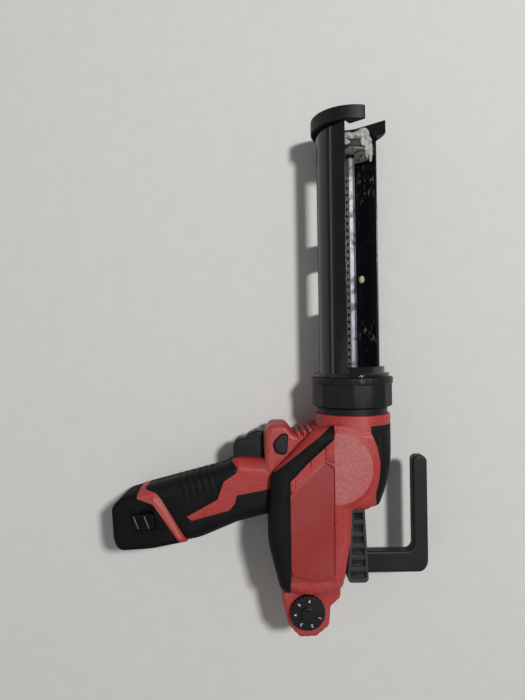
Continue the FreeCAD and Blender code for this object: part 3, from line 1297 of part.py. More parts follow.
def housing_pieces():
    """The two housing halves and their black over-moulds, by name."""
    outside = fuse_all([outer_form(0.0), handle_rim()] + vent_ridges())
    core = outer_form(SKIN)
    cavity = outer_form(WALL).cut(cradle_ribs())
    grown = pad(BODY_OUTLINE, BODY_HALF, BODY_EDGE, -BUMPER_PROUD)
    bumper = cut_each(grown.common(region(BUMPER_REGION)), [core, neck_form(0.0)])
    skin = outside.cut(core)
    top = skin.common(region(TOP_REGION))
    grip = skin.common(region(GRIP_REGION)).cut(grown)
    openings = inner_pockets() + [screw_holes()]
    shell = cut_each(outside, [cavity, bumper, top, grip] + openings + panel_cuts() + tail_scallops())
    grip = cut_each(grip, finger_grooves())
    pieces = {}
    for name, side in (("left", 1), ("right", -1)):
        room = half_space(side)
        pieces[name + "_housing"] = one_solid(shell.common(room))
        pieces[name + "_bumper"] = one_solid(cut_each(bumper.common(room), openings))
        pieces[name + "_top_cover"] = one_solid(cut_each(top.common(room), openings))
        pieces[name + "_grip"] = one_solid(cut_each(grip.common(room), openings))
    return pieces


def all_pieces():
    """Every piece of the tool by its name, in the modelling frame."""
    pieces = housing_pieces()
    makers = (
        housing_screws, threaded_spigot, retaining_collar, carriage_ring, carriage_trough, front_cap,
        rack_rod, piston_disc, piston_screw, rod_end_grip, pull_hook, hook_screw, rack_pinion, bevel_gear,
        pinion_shaft, shaft_bearings, bevel_pinion, output_bearing, gearbox_case, motor_can, motor_end_cap,
        rod_shoe, rear_rod_guide, trigger, trigger_switch, lock_button, speed_dial, dial_sensor,
        control_board, battery_pack, terminal_block, contact_blades)
    for maker in makers:
        pieces[maker.__name__] = maker()
    pieces["battery_latch_left"] = battery_latch(1)
    pieces["battery_latch_right"] = battery_latch(-1)
    return pieces


def main():
    """Build the pieces, lay the tool on its side and write one file for each piece."""
    os.makedirs("parts", exist_ok=True)
    pieces = all_pieces()
    whole = Part.makeCompound(list(pieces.values())).optimalBoundingBox(False, False)
    shift = V(-whole.Center.x, -whole.Center.y, -whole.ZMin)
    for name, shape in pieces.items():
        shape.translate(shift)
        shape.exportStep("parts/" + name + ".step")
    print("shift", [round(value, 4) for value in shift])
    print("size", round(whole.XLength, 2), round(whole.YLength, 2), round(whole.ZLength, 2))


main()
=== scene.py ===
import json
import logging
import math
from dataclasses import dataclass, field
from enum import Enum
from typing import Any, Callable, Optional, Sequence

import bpy
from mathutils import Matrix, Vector

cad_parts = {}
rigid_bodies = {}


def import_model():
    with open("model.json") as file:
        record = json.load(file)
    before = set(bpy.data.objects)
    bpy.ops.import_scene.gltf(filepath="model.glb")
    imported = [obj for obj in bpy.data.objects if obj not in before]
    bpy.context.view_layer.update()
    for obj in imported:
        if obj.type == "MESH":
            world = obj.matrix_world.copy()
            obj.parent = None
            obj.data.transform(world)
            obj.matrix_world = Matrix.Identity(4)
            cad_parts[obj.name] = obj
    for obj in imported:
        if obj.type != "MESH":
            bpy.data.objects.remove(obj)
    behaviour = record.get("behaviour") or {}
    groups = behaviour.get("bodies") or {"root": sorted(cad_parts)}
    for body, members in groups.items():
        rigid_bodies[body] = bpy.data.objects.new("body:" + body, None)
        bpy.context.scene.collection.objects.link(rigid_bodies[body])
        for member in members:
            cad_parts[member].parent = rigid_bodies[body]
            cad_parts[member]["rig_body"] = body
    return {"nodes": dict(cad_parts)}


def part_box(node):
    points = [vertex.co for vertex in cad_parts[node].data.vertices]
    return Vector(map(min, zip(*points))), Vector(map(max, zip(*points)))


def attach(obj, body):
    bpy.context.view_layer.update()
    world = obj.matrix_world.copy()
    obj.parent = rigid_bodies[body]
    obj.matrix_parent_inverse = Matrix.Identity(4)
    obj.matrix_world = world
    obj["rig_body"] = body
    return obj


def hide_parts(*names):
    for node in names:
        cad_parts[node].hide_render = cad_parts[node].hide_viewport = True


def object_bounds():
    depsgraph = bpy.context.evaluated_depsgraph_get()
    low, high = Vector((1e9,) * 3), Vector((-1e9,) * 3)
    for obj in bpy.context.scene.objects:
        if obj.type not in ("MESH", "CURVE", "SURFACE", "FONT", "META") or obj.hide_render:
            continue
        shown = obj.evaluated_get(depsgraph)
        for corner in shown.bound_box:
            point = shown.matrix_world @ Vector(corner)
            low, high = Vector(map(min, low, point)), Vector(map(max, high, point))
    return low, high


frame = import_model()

log = logging.getLogger("caulking_tool")
CAD_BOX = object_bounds()
RING_LOW, RING_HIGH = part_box("carriage_ring")
RING_REAR = 0.0224          # from the front face of the neck to the carriage ring
MM_PER_METRE = 1000
MERGE_DISTANCE = 0.000002   # corners of a node's loose triangles that lie closer than this become one
FACE_WEIGHT = 80            # how much more a large face counts in a corner's normal than a small one
ROUND_CORNERS = 96          # corners of a plain round cutter
CRUST_SETTLING = 4          # rounds of smoothing once a crust's lumps are melted together
CRUST_WAVES = ((4.0, 1.0), (1.3, 0.45))     # length and depth of the waves in a crust's skin, in parts of its relief

Colour = tuple[float, float, float]
Socket = bpy.types.NodeSocket


def linear(red: int, green: int, blue: int) -> Colour:
    """Turns a colour of 0 to 255 steps, as seen on a screen, into the shader's linear scale.

    Args:
        red: red step.
        green: green step.
        blue: blue step.

    Returns:
        The three linear values.
    """
    steps = [value / 255 for value in (red, green, blue)]
    return tuple(s / 12.92 if s <= 0.04045 else ((s + 0.055) / 1.055) ** 2.4 for s in steps)


def barrel(x: float, y: float, z: float) -> Vector:
    """Gives a point measured from the barrel axis and the front face of the neck.

    Args:
        x: millimetres towards the top of the tool.
        y: millimetres forward.
        z: millimetres towards the left side.

    Returns:
        The point, in metres.
    """
    middle = (RING_LOW + RING_HIGH) / 2
    return Vector((middle.x, RING_LOW.y - RING_REAR, middle.z)) + Vector((x, y, z)) / MM_PER_METRE


def spot(x: float, y: float, z: float) -> Any:
    """Gives a field that has a point of barrel for its default."""
    return field(default_factory=lambda: barrel(x, y, z))


class Edges(Enum):
    """How sharp an edge may be before its shading breaks, in degrees."""

    SOFT = 50.0
    MOULDED = 34.0
    CUT = 22.0


@dataclass(frozen=True)
class Patches:
    """Noise cut into patches: how fine it is per metre, and between which of its values the patches fade in."""

    scale: float
    start: float
    end: float
    detail: float = 4.0
    stretch: Optional[tuple[float, float, float]] = None


class Shader:
    """A material's node tree under construction, on Object coordinates."""

    BEVEL_SAMPLES = 6
    PLAIN_FACE = 0.97       # cosine between a face and its rounded normal where wear begins
    WORN_EDGE = 0.8         # and where it is complete

    def __init__(self, name: str) -> None:
        """Starts an empty Principled material.

        Args:
            name: the material's name.
        """
        self.material = bpy.data.materials.new(name)
        self.material.use_nodes = True
        self.tree = self.material.node_tree
        self.surface = self.tree.nodes["Principled BSDF"]
        self.place = self.add("ShaderNodeTexCoord").outputs["Object"]

    def add(self, kind: str, **settings: Any) -> bpy.types.Node:
        """Adds a node and sets its properties."""
        node = self.tree.nodes.new(kind)
        for key, value in settings.items():
            setattr(node, key, value)
        return node

    def feed(self, target: Socket, source: Any) -> None:
        """Links a socket to another, or sets it to a plain value."""
        if isinstance(source, bpy.types.NodeSocket):
            self.tree.links.new(source, target)
        else:
            target.default_value = source

    def set(self, **values: Any) -> None:
        """Sets or links the surface's inputs, named with _ for a space."""
        for key, value in values.items():
            self.feed(self.surface.inputs[key.replace("_", " ")], value)

    def stretched(self, stretch: Sequence[float]) -> Socket:
        """Gives the object's coordinates scaled apart along its axes."""
        node = self.add("ShaderNodeMapping")
        self.feed(node.inputs["Vector"], self.place)
        node.inputs["Scale"].default_value = stretch
        return node.outputs["Vector"]

    def noise(self, scale: float, detail: float = 4.0, stretch: Optional[Sequence[float]] = None) -> Socket:
        """Adds noise.

        Args:
            scale: features per metre.
            detail: octaves.
            stretch: scale along each axis, if uneven.

        Returns:
            The noise, about 0.5.
        """
        node = self.add("ShaderNodeTexNoise")
        self.feed(node.inputs["Vector"], self.stretched(stretch) if stretch else self.place)
        node.inputs["Scale"].default_value = scale
        node.inputs["Detail"].default_value = detail
        return node.outputs["Fac"]

    def cells(self, scale: float) -> Socket:
        """Gives the distance to the nearest of scattered points, scale of them per metre."""
        node = self.add("ShaderNodeTexVoronoi")
        self.feed(node.inputs["Vector"], self.place)
        node.inputs["Scale"].default_value = scale
        return node.outputs["Distance"]

    def along(self, axis: int) -> Socket:
        """Gives one object coordinate, 0 for X to 2 for Z."""
        node = self.add("ShaderNodeSeparateXYZ")
        self.feed(node.inputs[0], self.place)
        return node.outputs[axis]

    def ramp(self, value: Socket, start: float, end: float, low: float = 0.0, high: float = 1.0) -> Socket:
        """Maps a value from one range to another, smoothly and clamped.

        Args:
            value: what is mapped.
            start: the value that gives low.
            end: the value that gives high.
            low: first result.
            high: last result.

        Returns:
            The mapped value.
        """
        node = self.add("ShaderNodeMapRange", interpolation_type="SMOOTHSTEP")
        self.feed(node.inputs["Value"], value)
        for key, number in zip(("From Min", "From Max", "To Min", "To Max"), (start, end, low, high)):
            node.inputs[key].default_value = number
        return node.outputs["Result"]

    def patches(self, kind: Patches, low: float = 0.0, high: float = 1.0) -> Socket:
        """Gives noise in patches, low between them and high within them."""
        return self.ramp(self.noise(kind.scale, kind.detail, kind.stretch), kind.start, kind.end, low, high)

    def times(self, first: Socket, second: Any) -> Socket:
        """Multiplies a value by another, or takes a share of it."""
        return self.maths("MULTIPLY", first, second)

    def maths(self, operation: str, first: Any, second: Any) -> Socket:
        """Joins two values by a Math operation."""
        node = self.add("ShaderNodeMath", operation=operation)
        self.feed(node.inputs[0], first)
        self.feed(node.inputs[1], second)
        return node.outputs[0]

    def mix(self, share: Socket, first: Any, second: Any) -> Socket:
        """Mixes two colours.

        Args:
            share: 0 for the first, 1 for the second.
            first: a colour or socket.
            second: a colour or socket.

        Returns:
            The mixed colour.
        """
        node = self.add("ShaderNodeMix", data_type="RGBA")
        self.feed(node.inputs[0], share)
        for socket, colour in ((node.inputs[6], first), (node.inputs[7], second)):
            self.feed(socket, (*colour, 1.0) if isinstance(colour, tuple) else colour)
        return node.outputs[2]

    def rounded(self, radius: float) -> Socket:
        """Gives a normal that rounds edges off over a radius in metres."""
        node = self.add("ShaderNodeBevel", samples=self.BEVEL_SAMPLES)
        node.inputs["Radius"].default_value = radius
        return node.outputs["Normal"]

    def edge(self, radius: float) -> Socket:
        """Gives 1 on edges and 0 on plain faces, for wear over a radius in metres."""
        normal = self.add("ShaderNodeNewGeometry").outputs["Normal"]
        dot = self.add("ShaderNodeVectorMath", operation="DOT_PRODUCT")
        self.feed(dot.inputs[0], normal)
        self.feed(dot.inputs[1], self.rounded(radius))
        return self.ramp(dot.outputs["Value"], self.PLAIN_FACE, self.WORN_EDGE)

    def near(self, place: Vector, weights: Sequence[float], inner: float, outer: float) -> Socket:
        """Gives 1 close to a point and 0 away from it.

        Args:
            place: the point, in metres.
            weights: what a metre along each axis counts.
            inner: distance at which it starts to fade.
            outer: distance at which it is gone.

        Returns:
            The share, 1 to 0.
        """
        node = self.add("ShaderNodeMapping")
        self.feed(node.inputs["Vector"], self.place)
        node.inputs["Scale"].default_value = weights
        node.inputs["Location"].default_value = [-value * weight for value, weight in zip(place, weights)]
        length = self.add("ShaderNodeVectorMath", operation="LENGTH")
        self.feed(length.inputs[0], node.outputs["Vector"])
        return self.ramp(length.outputs["Value"], outer, inner)

    def facing(self, axis: int) -> Socket:
        """Gives a component of the object's own normal."""
        coordinates = self.add("ShaderNodeTexCoord").outputs["Normal"]
        node = self.add("ShaderNodeSeparateXYZ")
        self.feed(node.inputs[0], coordinates)
        return node.outputs[axis]

    def bump(self, height: Socket, depth: float, normal: Optional[Socket] = None, power: float = 1.0) -> Socket:
        """Turns a height into a normal.

        Args:
            height: the relief, 0 to 1.
            depth: its real depth in metres.
            normal: the normal it adds to.
            power: share of the relief that shows.

        Returns:
            The bumped normal.
        """
        node = self.add("ShaderNodeBump")
        self.feed(node.inputs["Height"], height)
        node.inputs["Distance"].default_value = depth
        node.inputs["Strength"].default_value = power
        if normal is not None:
            self.feed(node.inputs["Normal"], normal)
        return node.outputs["Normal"]


@dataclass(frozen=True)
class MouldedPlastic:
    """Spark-textured moulded plastic with rubbed edges, fine scuffs and dust settled on its upper faces."""

    name: str
    colour: Colour
    worn: Colour
    dust: Colour = linear(176, 160, 152)
    roughness: float = 0.42
    grain: float = 2600.0
    grain_depth: float = 0.00006
    dusty: float = 0.12
    edge_radius: float = 0.0005
    shine: float = 0.42
    drift: Patches = Patches(26.0, 0.36, 0.68)
    settled: Patches = Patches(520.0, 0.3, 0.72, 6.0)
    settled_facing: tuple[float, float] = (0.55, 0.98)
    scuffs: Patches = Patches(820.0, 0.66, 0.8, 3.0, (1.0, 0.1, 1.0))
    scuffed_share: float = 0.14
    rubbing: Patches = Patches(170.0, 0.4, 0.68)
    rubbing_reach: float = 2.2
    rubbed_share: float = 0.5
    speck_scale: float = 380.0
    speck_size: tuple[float, float] = (0.07, 0.03)
    specks: Patches = Patches(70.0, 0.5, 0.66)
    speckled_share: float = 0.3
    drift_roughness: float = 0.1
    grain_roughness: float = 0.2

    def tint(self, s: Shader, tone: Socket) -> Socket:
        """Gives the tone as it is, for a finish that has no zones of its own."""
        return tone

    def make(self) -> bpy.types.Material:
        """Builds the material."""
        s = Shader(self.name)
        drift = s.patches(self.drift)
        fine = s.noise(self.grain, 2.0)
        film = s.times(s.ramp(s.facing(2), *self.settled_facing), s.patches(self.settled))
        scuffs = s.patches(self.scuffs)
        rubbed = s.times(s.edge(self.edge_radius * self.rubbing_reach), s.patches(self.rubbing))
        specks = s.times(s.ramp(s.cells(self.speck_scale), *self.speck_size), s.patches(self.specks))
        tone = s.mix(s.times(drift, self.dusty * 0.5), self.colour, self.dust)
        tone = s.mix(s.times(film, self.dusty), tone, self.dust)
        tone = self.tint(s, tone)
        tone = s.mix(s.times(rubbed, self.rubbed_share), tone, self.worn)
        tone = s.mix(s.times(scuffs, self.scuffed_share), tone, self.worn)
        tone = s.mix(s.times(specks, self.speckled_share), tone, self.dust)
        dull = s.maths("ADD", s.ramp(drift, 0.0, 1.0, self.roughness, self.roughness + self.drift_roughness),
                       s.times(s.maths("SUBTRACT", fine, 0.5), self.grain_roughness))
        relief = s.bump(fine, self.grain_depth, s.rounded(self.edge_radius))
        s.set(Base_Color=tone, Roughness=dull, Normal=relief, Specular_IOR_Level=self.shine)
        return s.material


@dataclass(frozen=True)
class ShellPlastic(MouldedPlastic):
    """The shell's plastic: a boss paled inside its bevelled rim, partly by rubbed dust and partly by painted sheen,
    and a sunk panel beside it darkened by painted shade.
    """

    boss: tuple[float, float] = (0.0, 0.0)
    boss_flat: float = 0.0305
    panel_low: tuple[float, float] = (0.0, 0.0)
    panel_high: tuple[float, float] = (0.0, 0.0)
    panel_slant: float = 0.0
    # painted shade: the tone that the sunk panel's flat side is darkened towards
    panel_painted_shade: Colour = linear(122, 34, 34)
    panel_shade_share: float = 0.55
    border: float = 0.0004
    flat_facing: tuple[float, float] = (0.9, 0.99)
    mottle: Patches = Patches(420.0, 0.3, 0.7, 6.0)
    mottle_share: tuple[float, float] = (0.14, 0.3)

    def past(self, s: Shader, value: Socket, limit: float) -> Socket:
        """Gives 1 where a coordinate is past a limit, over a narrow border."""
        return s.ramp(value, limit - self.border, limit + self.border)

    def flat(self, s: Shader) -> Socket:
        """Gives 1 on the two flat sides of the shell."""
        return s.ramp(s.maths("ABSOLUTE", s.facing(2), 0.0), *self.flat_facing)

    def tint(self, s: Shader, tone: Socket) -> Socket:
        """Pales the boss with dust and painted sheen, and darkens the panel with painted shade."""
        x, y = s.along(0), s.along(1)
        right = self.past(s, x, self.panel_high[0])
        left = s.maths("SUBTRACT", 1.0, right)
        panel = s.times(left, self.past(s, x, self.panel_low[0]))
        panel = s.times(panel, self.past(s, y, self.panel_low[1]))
        panel = s.times(panel, self.past(s, s.maths("SUBTRACT", x, y), self.panel_slant))
        # painted shade: darkens the flat side of the sunk panel
        tone = s.mix(s.times(s.times(panel, self.flat(s)), self.panel_shade_share), tone, self.panel_painted_shade)
        # painted sheen with rubbed dust: pales the boss disc with a mottle of the dust colour
        disc = s.near(Vector((*self.boss, 0.0)), (1.0, 1.0, 0.0), self.boss_flat * 0.96, self.boss_flat)
        disc = s.times(s.times(disc, right), self.flat(s))
        mottle = s.patches(self.mottle, *self.mottle_share)
        return s.mix(s.times(disc, mottle), tone, self.dust)


@dataclass(frozen=True)
class PocketedPlastic(MouldedPlastic):
    """Plastic whose floors below its raised frame are darkened by painted shade."""

    frame_height: float = 0.0
    frame_border: tuple[float, float] = (0.0007, 0.0003)
    # painted shade colour for the floors of the recesses
    pocket_painted_shade: Colour = linear(14, 15, 17)

    def tint(self, s: Shader, tone: Socket) -> Socket:
        """Darkens all that lies below the frame with painted shade."""
        start, end = (self.frame_height - below for below in self.frame_border)
        return s.mix(s.ramp(s.along(2), start, end), self.pocket_painted_shade, tone)


@dataclass(frozen=True)
class CakedPlastic(MouldedPlastic):
    """Plastic whose rear face is crusted with streaks of dried sealant, their tone painted paler than the sealant to
    stand in for light the rear face does not get.
    """

    # sealant streaks, painted paler than the sealant to stand in for light on the shaded rear face
    cake_painted_pale: Colour = linear(214, 212, 206)
    rear_facing: tuple[float, float] = (-0.6, -0.9)
    streaks: Patches = Patches(190.0, 0.3, 0.6, 6.0, (1.0, 1.0, 0.5))

    def tint(self, s: Shader, tone: Socket) -> Socket:
        """Streaks the rear face with sealant in a tone painted pale for the missing light."""
        rear = s.ramp(s.facing(1), *self.rear_facing)
        return s.mix(s.times(rear, s.patches(self.streaks)), tone, self.cake_painted_pale)


@dataclass(frozen=True)
class RubberSkin:
    """Soft overmoulded rubber: matt, finely pebbled, paler where dust and hands have rubbed it."""

    name: str
    colour: Colour = linear(15, 15, 16)
    rubbed: Colour = linear(48, 47, 48)
    dust: Colour = linear(112, 108, 104)
    pebble: float = 1500.0
    pebble_depth: float = 0.00007
    edge_radius: float = 0.0006
    shine: float = 0.14
    roughness: tuple[float, float] = (0.6, 0.76)
    handled: Patches = Patches(60.0, 0.45, 0.75, 6.0)
    handled_share: float = 0.12
    rubbing: Patches = Patches(210.0, 0.38, 0.66)
    rubbing_reach: float = 0.0014
    rubbed_share: float = 0.4
    lint: Patches = Patches(1100.0, 0.71, 0.78, 2.0, (1.0, 0.22, 1.0))
    speck_scale: float = 300.0
    speck_size: tuple[float, float] = (0.1, 0.05)
    specks: Patches = Patches(90.0, 0.5, 0.62)
    dusty: float = 0.22
    shell_tone: Optional[Colour] = None
    shell_slope: float = 0.0
    shell_start: float = 0.0
    shell_limit: float = 1.0
    shell_border: float = 0.0003
    shell_shine: float = 0.4

    def make(self) -> bpy.types.Material:
        """Builds the material."""
        s = Shader(self.name)
        handled = s.patches(self.handled)
        pebbles = s.cells(self.pebble)
        rubbed = s.times(s.edge(self.rubbing_reach), s.patches(self.rubbing))
        lint = s.patches(self.lint)
        specks = s.times(s.ramp(s.cells(self.speck_scale), *self.speck_size), s.patches(self.specks))
        tone = s.mix(s.times(handled, self.handled_share), self.colour, self.rubbed)
        tone = s.mix(s.times(rubbed, self.rubbed_share), tone, self.rubbed)
        tone = s.mix(s.times(s.maths("MAXIMUM", lint, specks), self.dusty), tone, self.dust)
        shine = self.shine
        if self.shell_tone is not None:
            past = s.maths("SUBTRACT", s.along(1), s.times(s.along(0), self.shell_slope))
            start, limit, border = self.shell_start, self.shell_limit, self.shell_border
            zone = s.times(s.ramp(past, start - border, start + border),
                           s.ramp(s.along(0), limit + border, limit - border))
            tone = s.mix(zone, tone, self.shell_tone)
            shine = s.ramp(zone, 0.0, 1.0, self.shine, self.shell_shine)
        relief = s.bump(pebbles, self.pebble_depth, s.rounded(self.edge_radius))
        s.set(Base_Color=tone, Roughness=s.ramp(handled, 0.0, 1.0, *self.roughness), Normal=relief,
              Specular_IOR_Level=shine)
        return s.material


@dataclass(frozen=True)
class SmearedGloss:
    """Glossy black moulding with wiped films of sealant in a few places."""

    name: str
    smears: tuple[tuple[Vector, float], ...]
    colour: Colour = linear(14, 15, 17)
    film: Colour = linear(172, 171, 166)
    roughness: float = 0.13
    strength: float = 0.2
    shine: float = 0.5
    streaks: Patches = Patches(330.0, 0.54, 0.66, 9.0, (1.0, 0.42, 1.0))
    smear_weights: tuple[float, float, float] = (1.0, 0.6, 1.0)
    smear_core: float = 0.3
    wiped: Patches = Patches(95.0, 0.62, 0.76, 7.0)
    wiped_share: float = 0.06
    scratches: Patches = Patches(2400.0, 0.64, 0.74, 2.0, (1.0, 0.04, 1.0))
    scratched_share: float = 0.07
    scratch_roughness: float = 0.08
    rubbing: Patches = Patches(180.0, 0.42, 0.66)
    rubbing_reach: float = 0.001
    rubbed: Colour = linear(84, 85, 88)
    rubbed_share: float = 0.3
    film_roughness: float = 0.7
    film_depth: float = 0.00016
    edge_radius: float = 0.0005
    ripple_scale: float = 520.0
    ripple_depth: float = 0.00003
    ripple_power: float = 0.12

    def make(self) -> bpy.types.Material:
        """Builds the material."""
        s = Shader(self.name)
        streaks = s.patches(self.streaks)
        film = s.times(s.patches(self.wiped), self.wiped_share)
        for place, reach in self.smears:
            zone = s.near(place, self.smear_weights, reach * self.smear_core, reach)
            film = s.maths("MAXIMUM", film, s.times(streaks, zone))
        scratches = s.patches(self.scratches)
        rubbed = s.times(s.edge(self.rubbing_reach), s.patches(self.rubbing))
        tone = s.mix(s.times(film, self.strength), self.colour, self.film)
        tone = s.mix(s.times(scratches, self.scratched_share), tone, self.film)
        tone = s.mix(s.times(rubbed, self.rubbed_share), tone, self.rubbed)
        dull = s.maths("ADD", s.ramp(film, 0.0, self.film_roughness, self.roughness, self.film_roughness),
                       s.times(scratches, self.scratch_roughness))
        ripple = s.noise(self.ripple_scale, 3.0)
        relief = s.bump(ripple, self.ripple_depth, s.rounded(self.edge_radius), self.ripple_power)
        relief = s.bump(film, self.film_depth, relief)
        s.set(Base_Color=tone, Roughness=dull, Normal=relief, Specular_IOR_Level=self.shine)
        return s.material


@dataclass(frozen=True)
class GroundSteel:
    """Ground and plated steel: fine grinding lines, greyer grime in patches, bright edges, and painted shade along
    one side for a bevel turned from the light.
    """

    name: str
    colour: Colour = linear(128, 131, 136)
    grime: Colour = linear(80, 79, 78)
    roughness: float = 0.48
    lines: Sequence[float] = (1.0, 0.06, 1.0)
    grimy: float = 0.45
    stretch: Optional[tuple[float, float]] = None
    stretch_border: float = 0.0008
    stretch_share: float = 0.8
    oiled: Optional[float] = None
    painted_bevel_shade: Colour = linear(34, 35, 38)
    bevel_shade_border: float = 0.0004
    bevel_shade_share: float = 0.85
    dirt: Patches = Patches(95.0, 0.44, 0.7, 6.0)
    dirt_roughness: float = 0.22
    grinding_scale: float = 3200.0
    grinding_depth: float = 0.00002
    grinding_share: float = 0.14
    polished: Colour = linear(176, 177, 180)
    polished_share: float = 0.3
    polished_reach: float = 0.0005
    edge_radius: float = 0.0003

    def make(self) -> bpy.types.Material:
        """Builds the material."""
        s = Shader(self.name)
        grinding = s.noise(self.grinding_scale, 2.0, self.lines)
        dirt = s.patches(self.dirt)
        bright = s.edge(self.polished_reach)
        tone = s.mix(s.times(dirt, self.grimy), self.colour, self.grime)
        tone = s.mix(s.ramp(grinding, 0.35, 0.65, 0.0, self.grinding_share), tone, self.grime)
        tone = s.mix(s.times(bright, self.polished_share), tone, self.polished)
        # darker along one stretch of the rod's length
        if self.stretch is not None:
            middle, half = self.stretch
            darker_stretch = s.near(Vector((0.0, middle, 0.0)), (0.0, 1.0, 0.0), half, half + self.stretch_border)
            tone = s.mix(s.times(darker_stretch, self.stretch_share), tone, self.grime)
        # painted shade: darkens the steel past an X limit, standing in for the rod's bevel turned from the light
        if self.oiled is not None:
            film = s.ramp(s.along(0), self.oiled - self.bevel_shade_border, self.oiled + self.bevel_shade_border)
            tone = s.mix(s.times(film, self.bevel_shade_share), tone, self.painted_bevel_shade)
        dull = s.maths("ADD", s.ramp(dirt, 0.0, 1.0, self.roughness, self.roughness + self.dirt_roughness),
                       s.ramp(grinding, 0.3, 0.7, -0.05, 0.07))
        relief = s.bump(grinding, self.grinding_depth, s.rounded(self.edge_radius))
        s.set(Base_Color=tone, Metallic=1.0, Roughness=dull, Normal=relief)
        return s.material


@dataclass(frozen=True)
class DriedSealant:
    """Cured pale sealant, dull and lumpy."""

    name: str = "dried_sealant"
    colour: Colour = linear(172, 171, 167)
    shade: Colour = linear(112, 110, 105)
    lump_scale: float = 340.0
    lump_depth: float = 0.0006
    grain_scale: float = 2100.0
    grain_depth: float = 0.00012

    def make(self) -> bpy.types.Material:
        """Builds the material."""
        s = Shader(self.name)
        lumps = s.noise(self.lump_scale, 6.0)
        grain = s.noise(self.grain_scale, 3.0)
        tone = s.mix(s.ramp(lumps, 0.38, 0.7), self.colour, self.shade)
        relief = s.bump(grain, self.grain_depth, s.bump(lumps, self.lump_depth))
        s.set(Base_Color=tone, Roughness=s.ramp(grain, 0.3, 0.7, 0.55, 0.8), Normal=relief)
        return s.material


@dataclass(frozen=True)
class PrintedMark:
    """White pad print, thinned in places."""

    name: str = "white_print"
    colour: Colour = linear(226, 226, 222)
    under: Colour = linear(120, 120, 120)
    thinned: Patches = Patches(1400.0, 0.55, 0.72, 5.0)
    thinned_share: float = 0.7

    def make(self) -> bpy.types.Material:
        """Builds the material."""
        s = Shader(self.name)
        worn = s.patches(self.thinned, 0.0, self.thinned_share)
        s.set(Base_Color=s.mix(worn, self.colour, self.under),
              Roughness=s.ramp(worn, 0.0, self.thinned_share, 0.5, 0.7))
        return s.material


@dataclass(frozen=True)
class StudioPaper:
    """Pale studio floor with the faintest mottle."""

    name: str = "studio_floor"
    colour: Colour = linear(206, 205, 202)
    mottle: Colour = linear(199, 198, 195)

    def make(self) -> bpy.types.Material:
        """Builds the material."""
        s = Shader(self.name)
        s.set(Base_Color=s.mix(s.noise(60.0, 3.0), self.colour, self.mottle),
              Roughness=s.ramp(s.noise(300.0), 0.3, 0.7, 0.8, 0.9), Specular_IOR_Level=0.2)
        return s.material


def only(obj: bpy.types.Object) -> None:
    """Selects one object alone and makes it active."""
    bpy.ops.object.select_all(action="DESELECT")
    obj.select_set(True)
    bpy.context.view_layer.objects.active = obj


def added(operator: Callable[..., Any], **settings: Any) -> bpy.types.Object:
    """Runs an operator that adds an object, with nothing else selected, and gives the object."""
    bpy.ops.object.select_all(action="DESELECT")
    operator(**settings)
    return bpy.context.object


def modify(piece: bpy.types.Object, kind: str, **settings: Any) -> None:
    """Gives the active piece a modifier with these settings and applies it."""
    modifier = piece.modifiers.new(kind, kind)
    for key, value in settings.items():
        setattr(modifier, key, value)
    bpy.ops.object.modifier_apply(modifier=modifier.name)


def combine(piece: bpy.types.Object, tool: bpy.types.Object, operation: str) -> None:
    """Joins a tool shape to a piece, or cuts it out of the piece, and removes the tool.

    Args:
        piece: what is changed.
        tool: the shape that is used up.
        operation: UNION or DIFFERENCE.
    """
    only(piece)
    modify(piece, "BOOLEAN", operation=operation, solver="EXACT", object=tool)
    bpy.data.objects.remove(tool)


def dressed(node: str, material: bpy.types.Material, edges: Edges = Edges.MOULDED,
            shape: Optional[Callable[[bpy.types.Object], None]] = None) -> bpy.types.Object:
    """Makes a smooth-shaded copy of a CAD node's mesh that stands for the node.

    Args:
        node: the CAD node's name.
        material: the finish it wears.
        edges: which edges stay sharp.
        shape: what changes its form before it is shaded.

    Returns:
        The new piece, riding on the node's body.
    """
    source = frame["nodes"][node]
    piece = bpy.data.objects.new(node + "_skin", source.data.copy())
    bpy.context.scene.collection.objects.link(piece)
    only(piece)
    bpy.ops.object.mode_set(mode="EDIT")
    bpy.ops.mesh.select_all(action="SELECT")
    bpy.ops.mesh.remove_doubles(threshold=MERGE_DISTANCE)
    bpy.ops.object.mode_set(mode="OBJECT")
    if shape is not None:
        shape(piece)
    only(piece)
    bpy.ops.object.shade_smooth_by_angle(angle=math.radians(edges.value))
    modify(piece, "WEIGHTED_NORMAL", mode="FACE_AREA", weight=FACE_WEIGHT, keep_sharp=True)
    wear(piece, material)
    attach(piece, source["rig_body"])
    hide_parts(node)
    return piece


def wear(piece: bpy.types.Object, material: bpy.types.Material) -> None:
    """Gives a piece one material."""
    piece.data.materials.clear()
    piece.data.materials.append(material)


class Assembly:
    """A sub-assembly of the tool: it wears its finishes and reports its pieces."""

    def build(self) -> None:
        """Makes and dresses the pieces."""
        raise NotImplementedError

    def dress(self, material: bpy.types.Material, slot: str, nodes: Sequence[str],
              edges: Edges = Edges.MOULDED, shape: Optional[Callable[[bpy.types.Object], None]] = None) -> None:
        """Dresses CAD nodes alike.

        Args:
            material: the finish.
            slot: the record's material slot; not used.
            nodes: the CAD nodes.
            edges: which edges stay sharp.
            shape: what changes their form before they are shaded.
        """
        for node in nodes:
            piece = dressed(node, material, edges, shape)
            log.info("%s wears %s", piece.name, material.name)


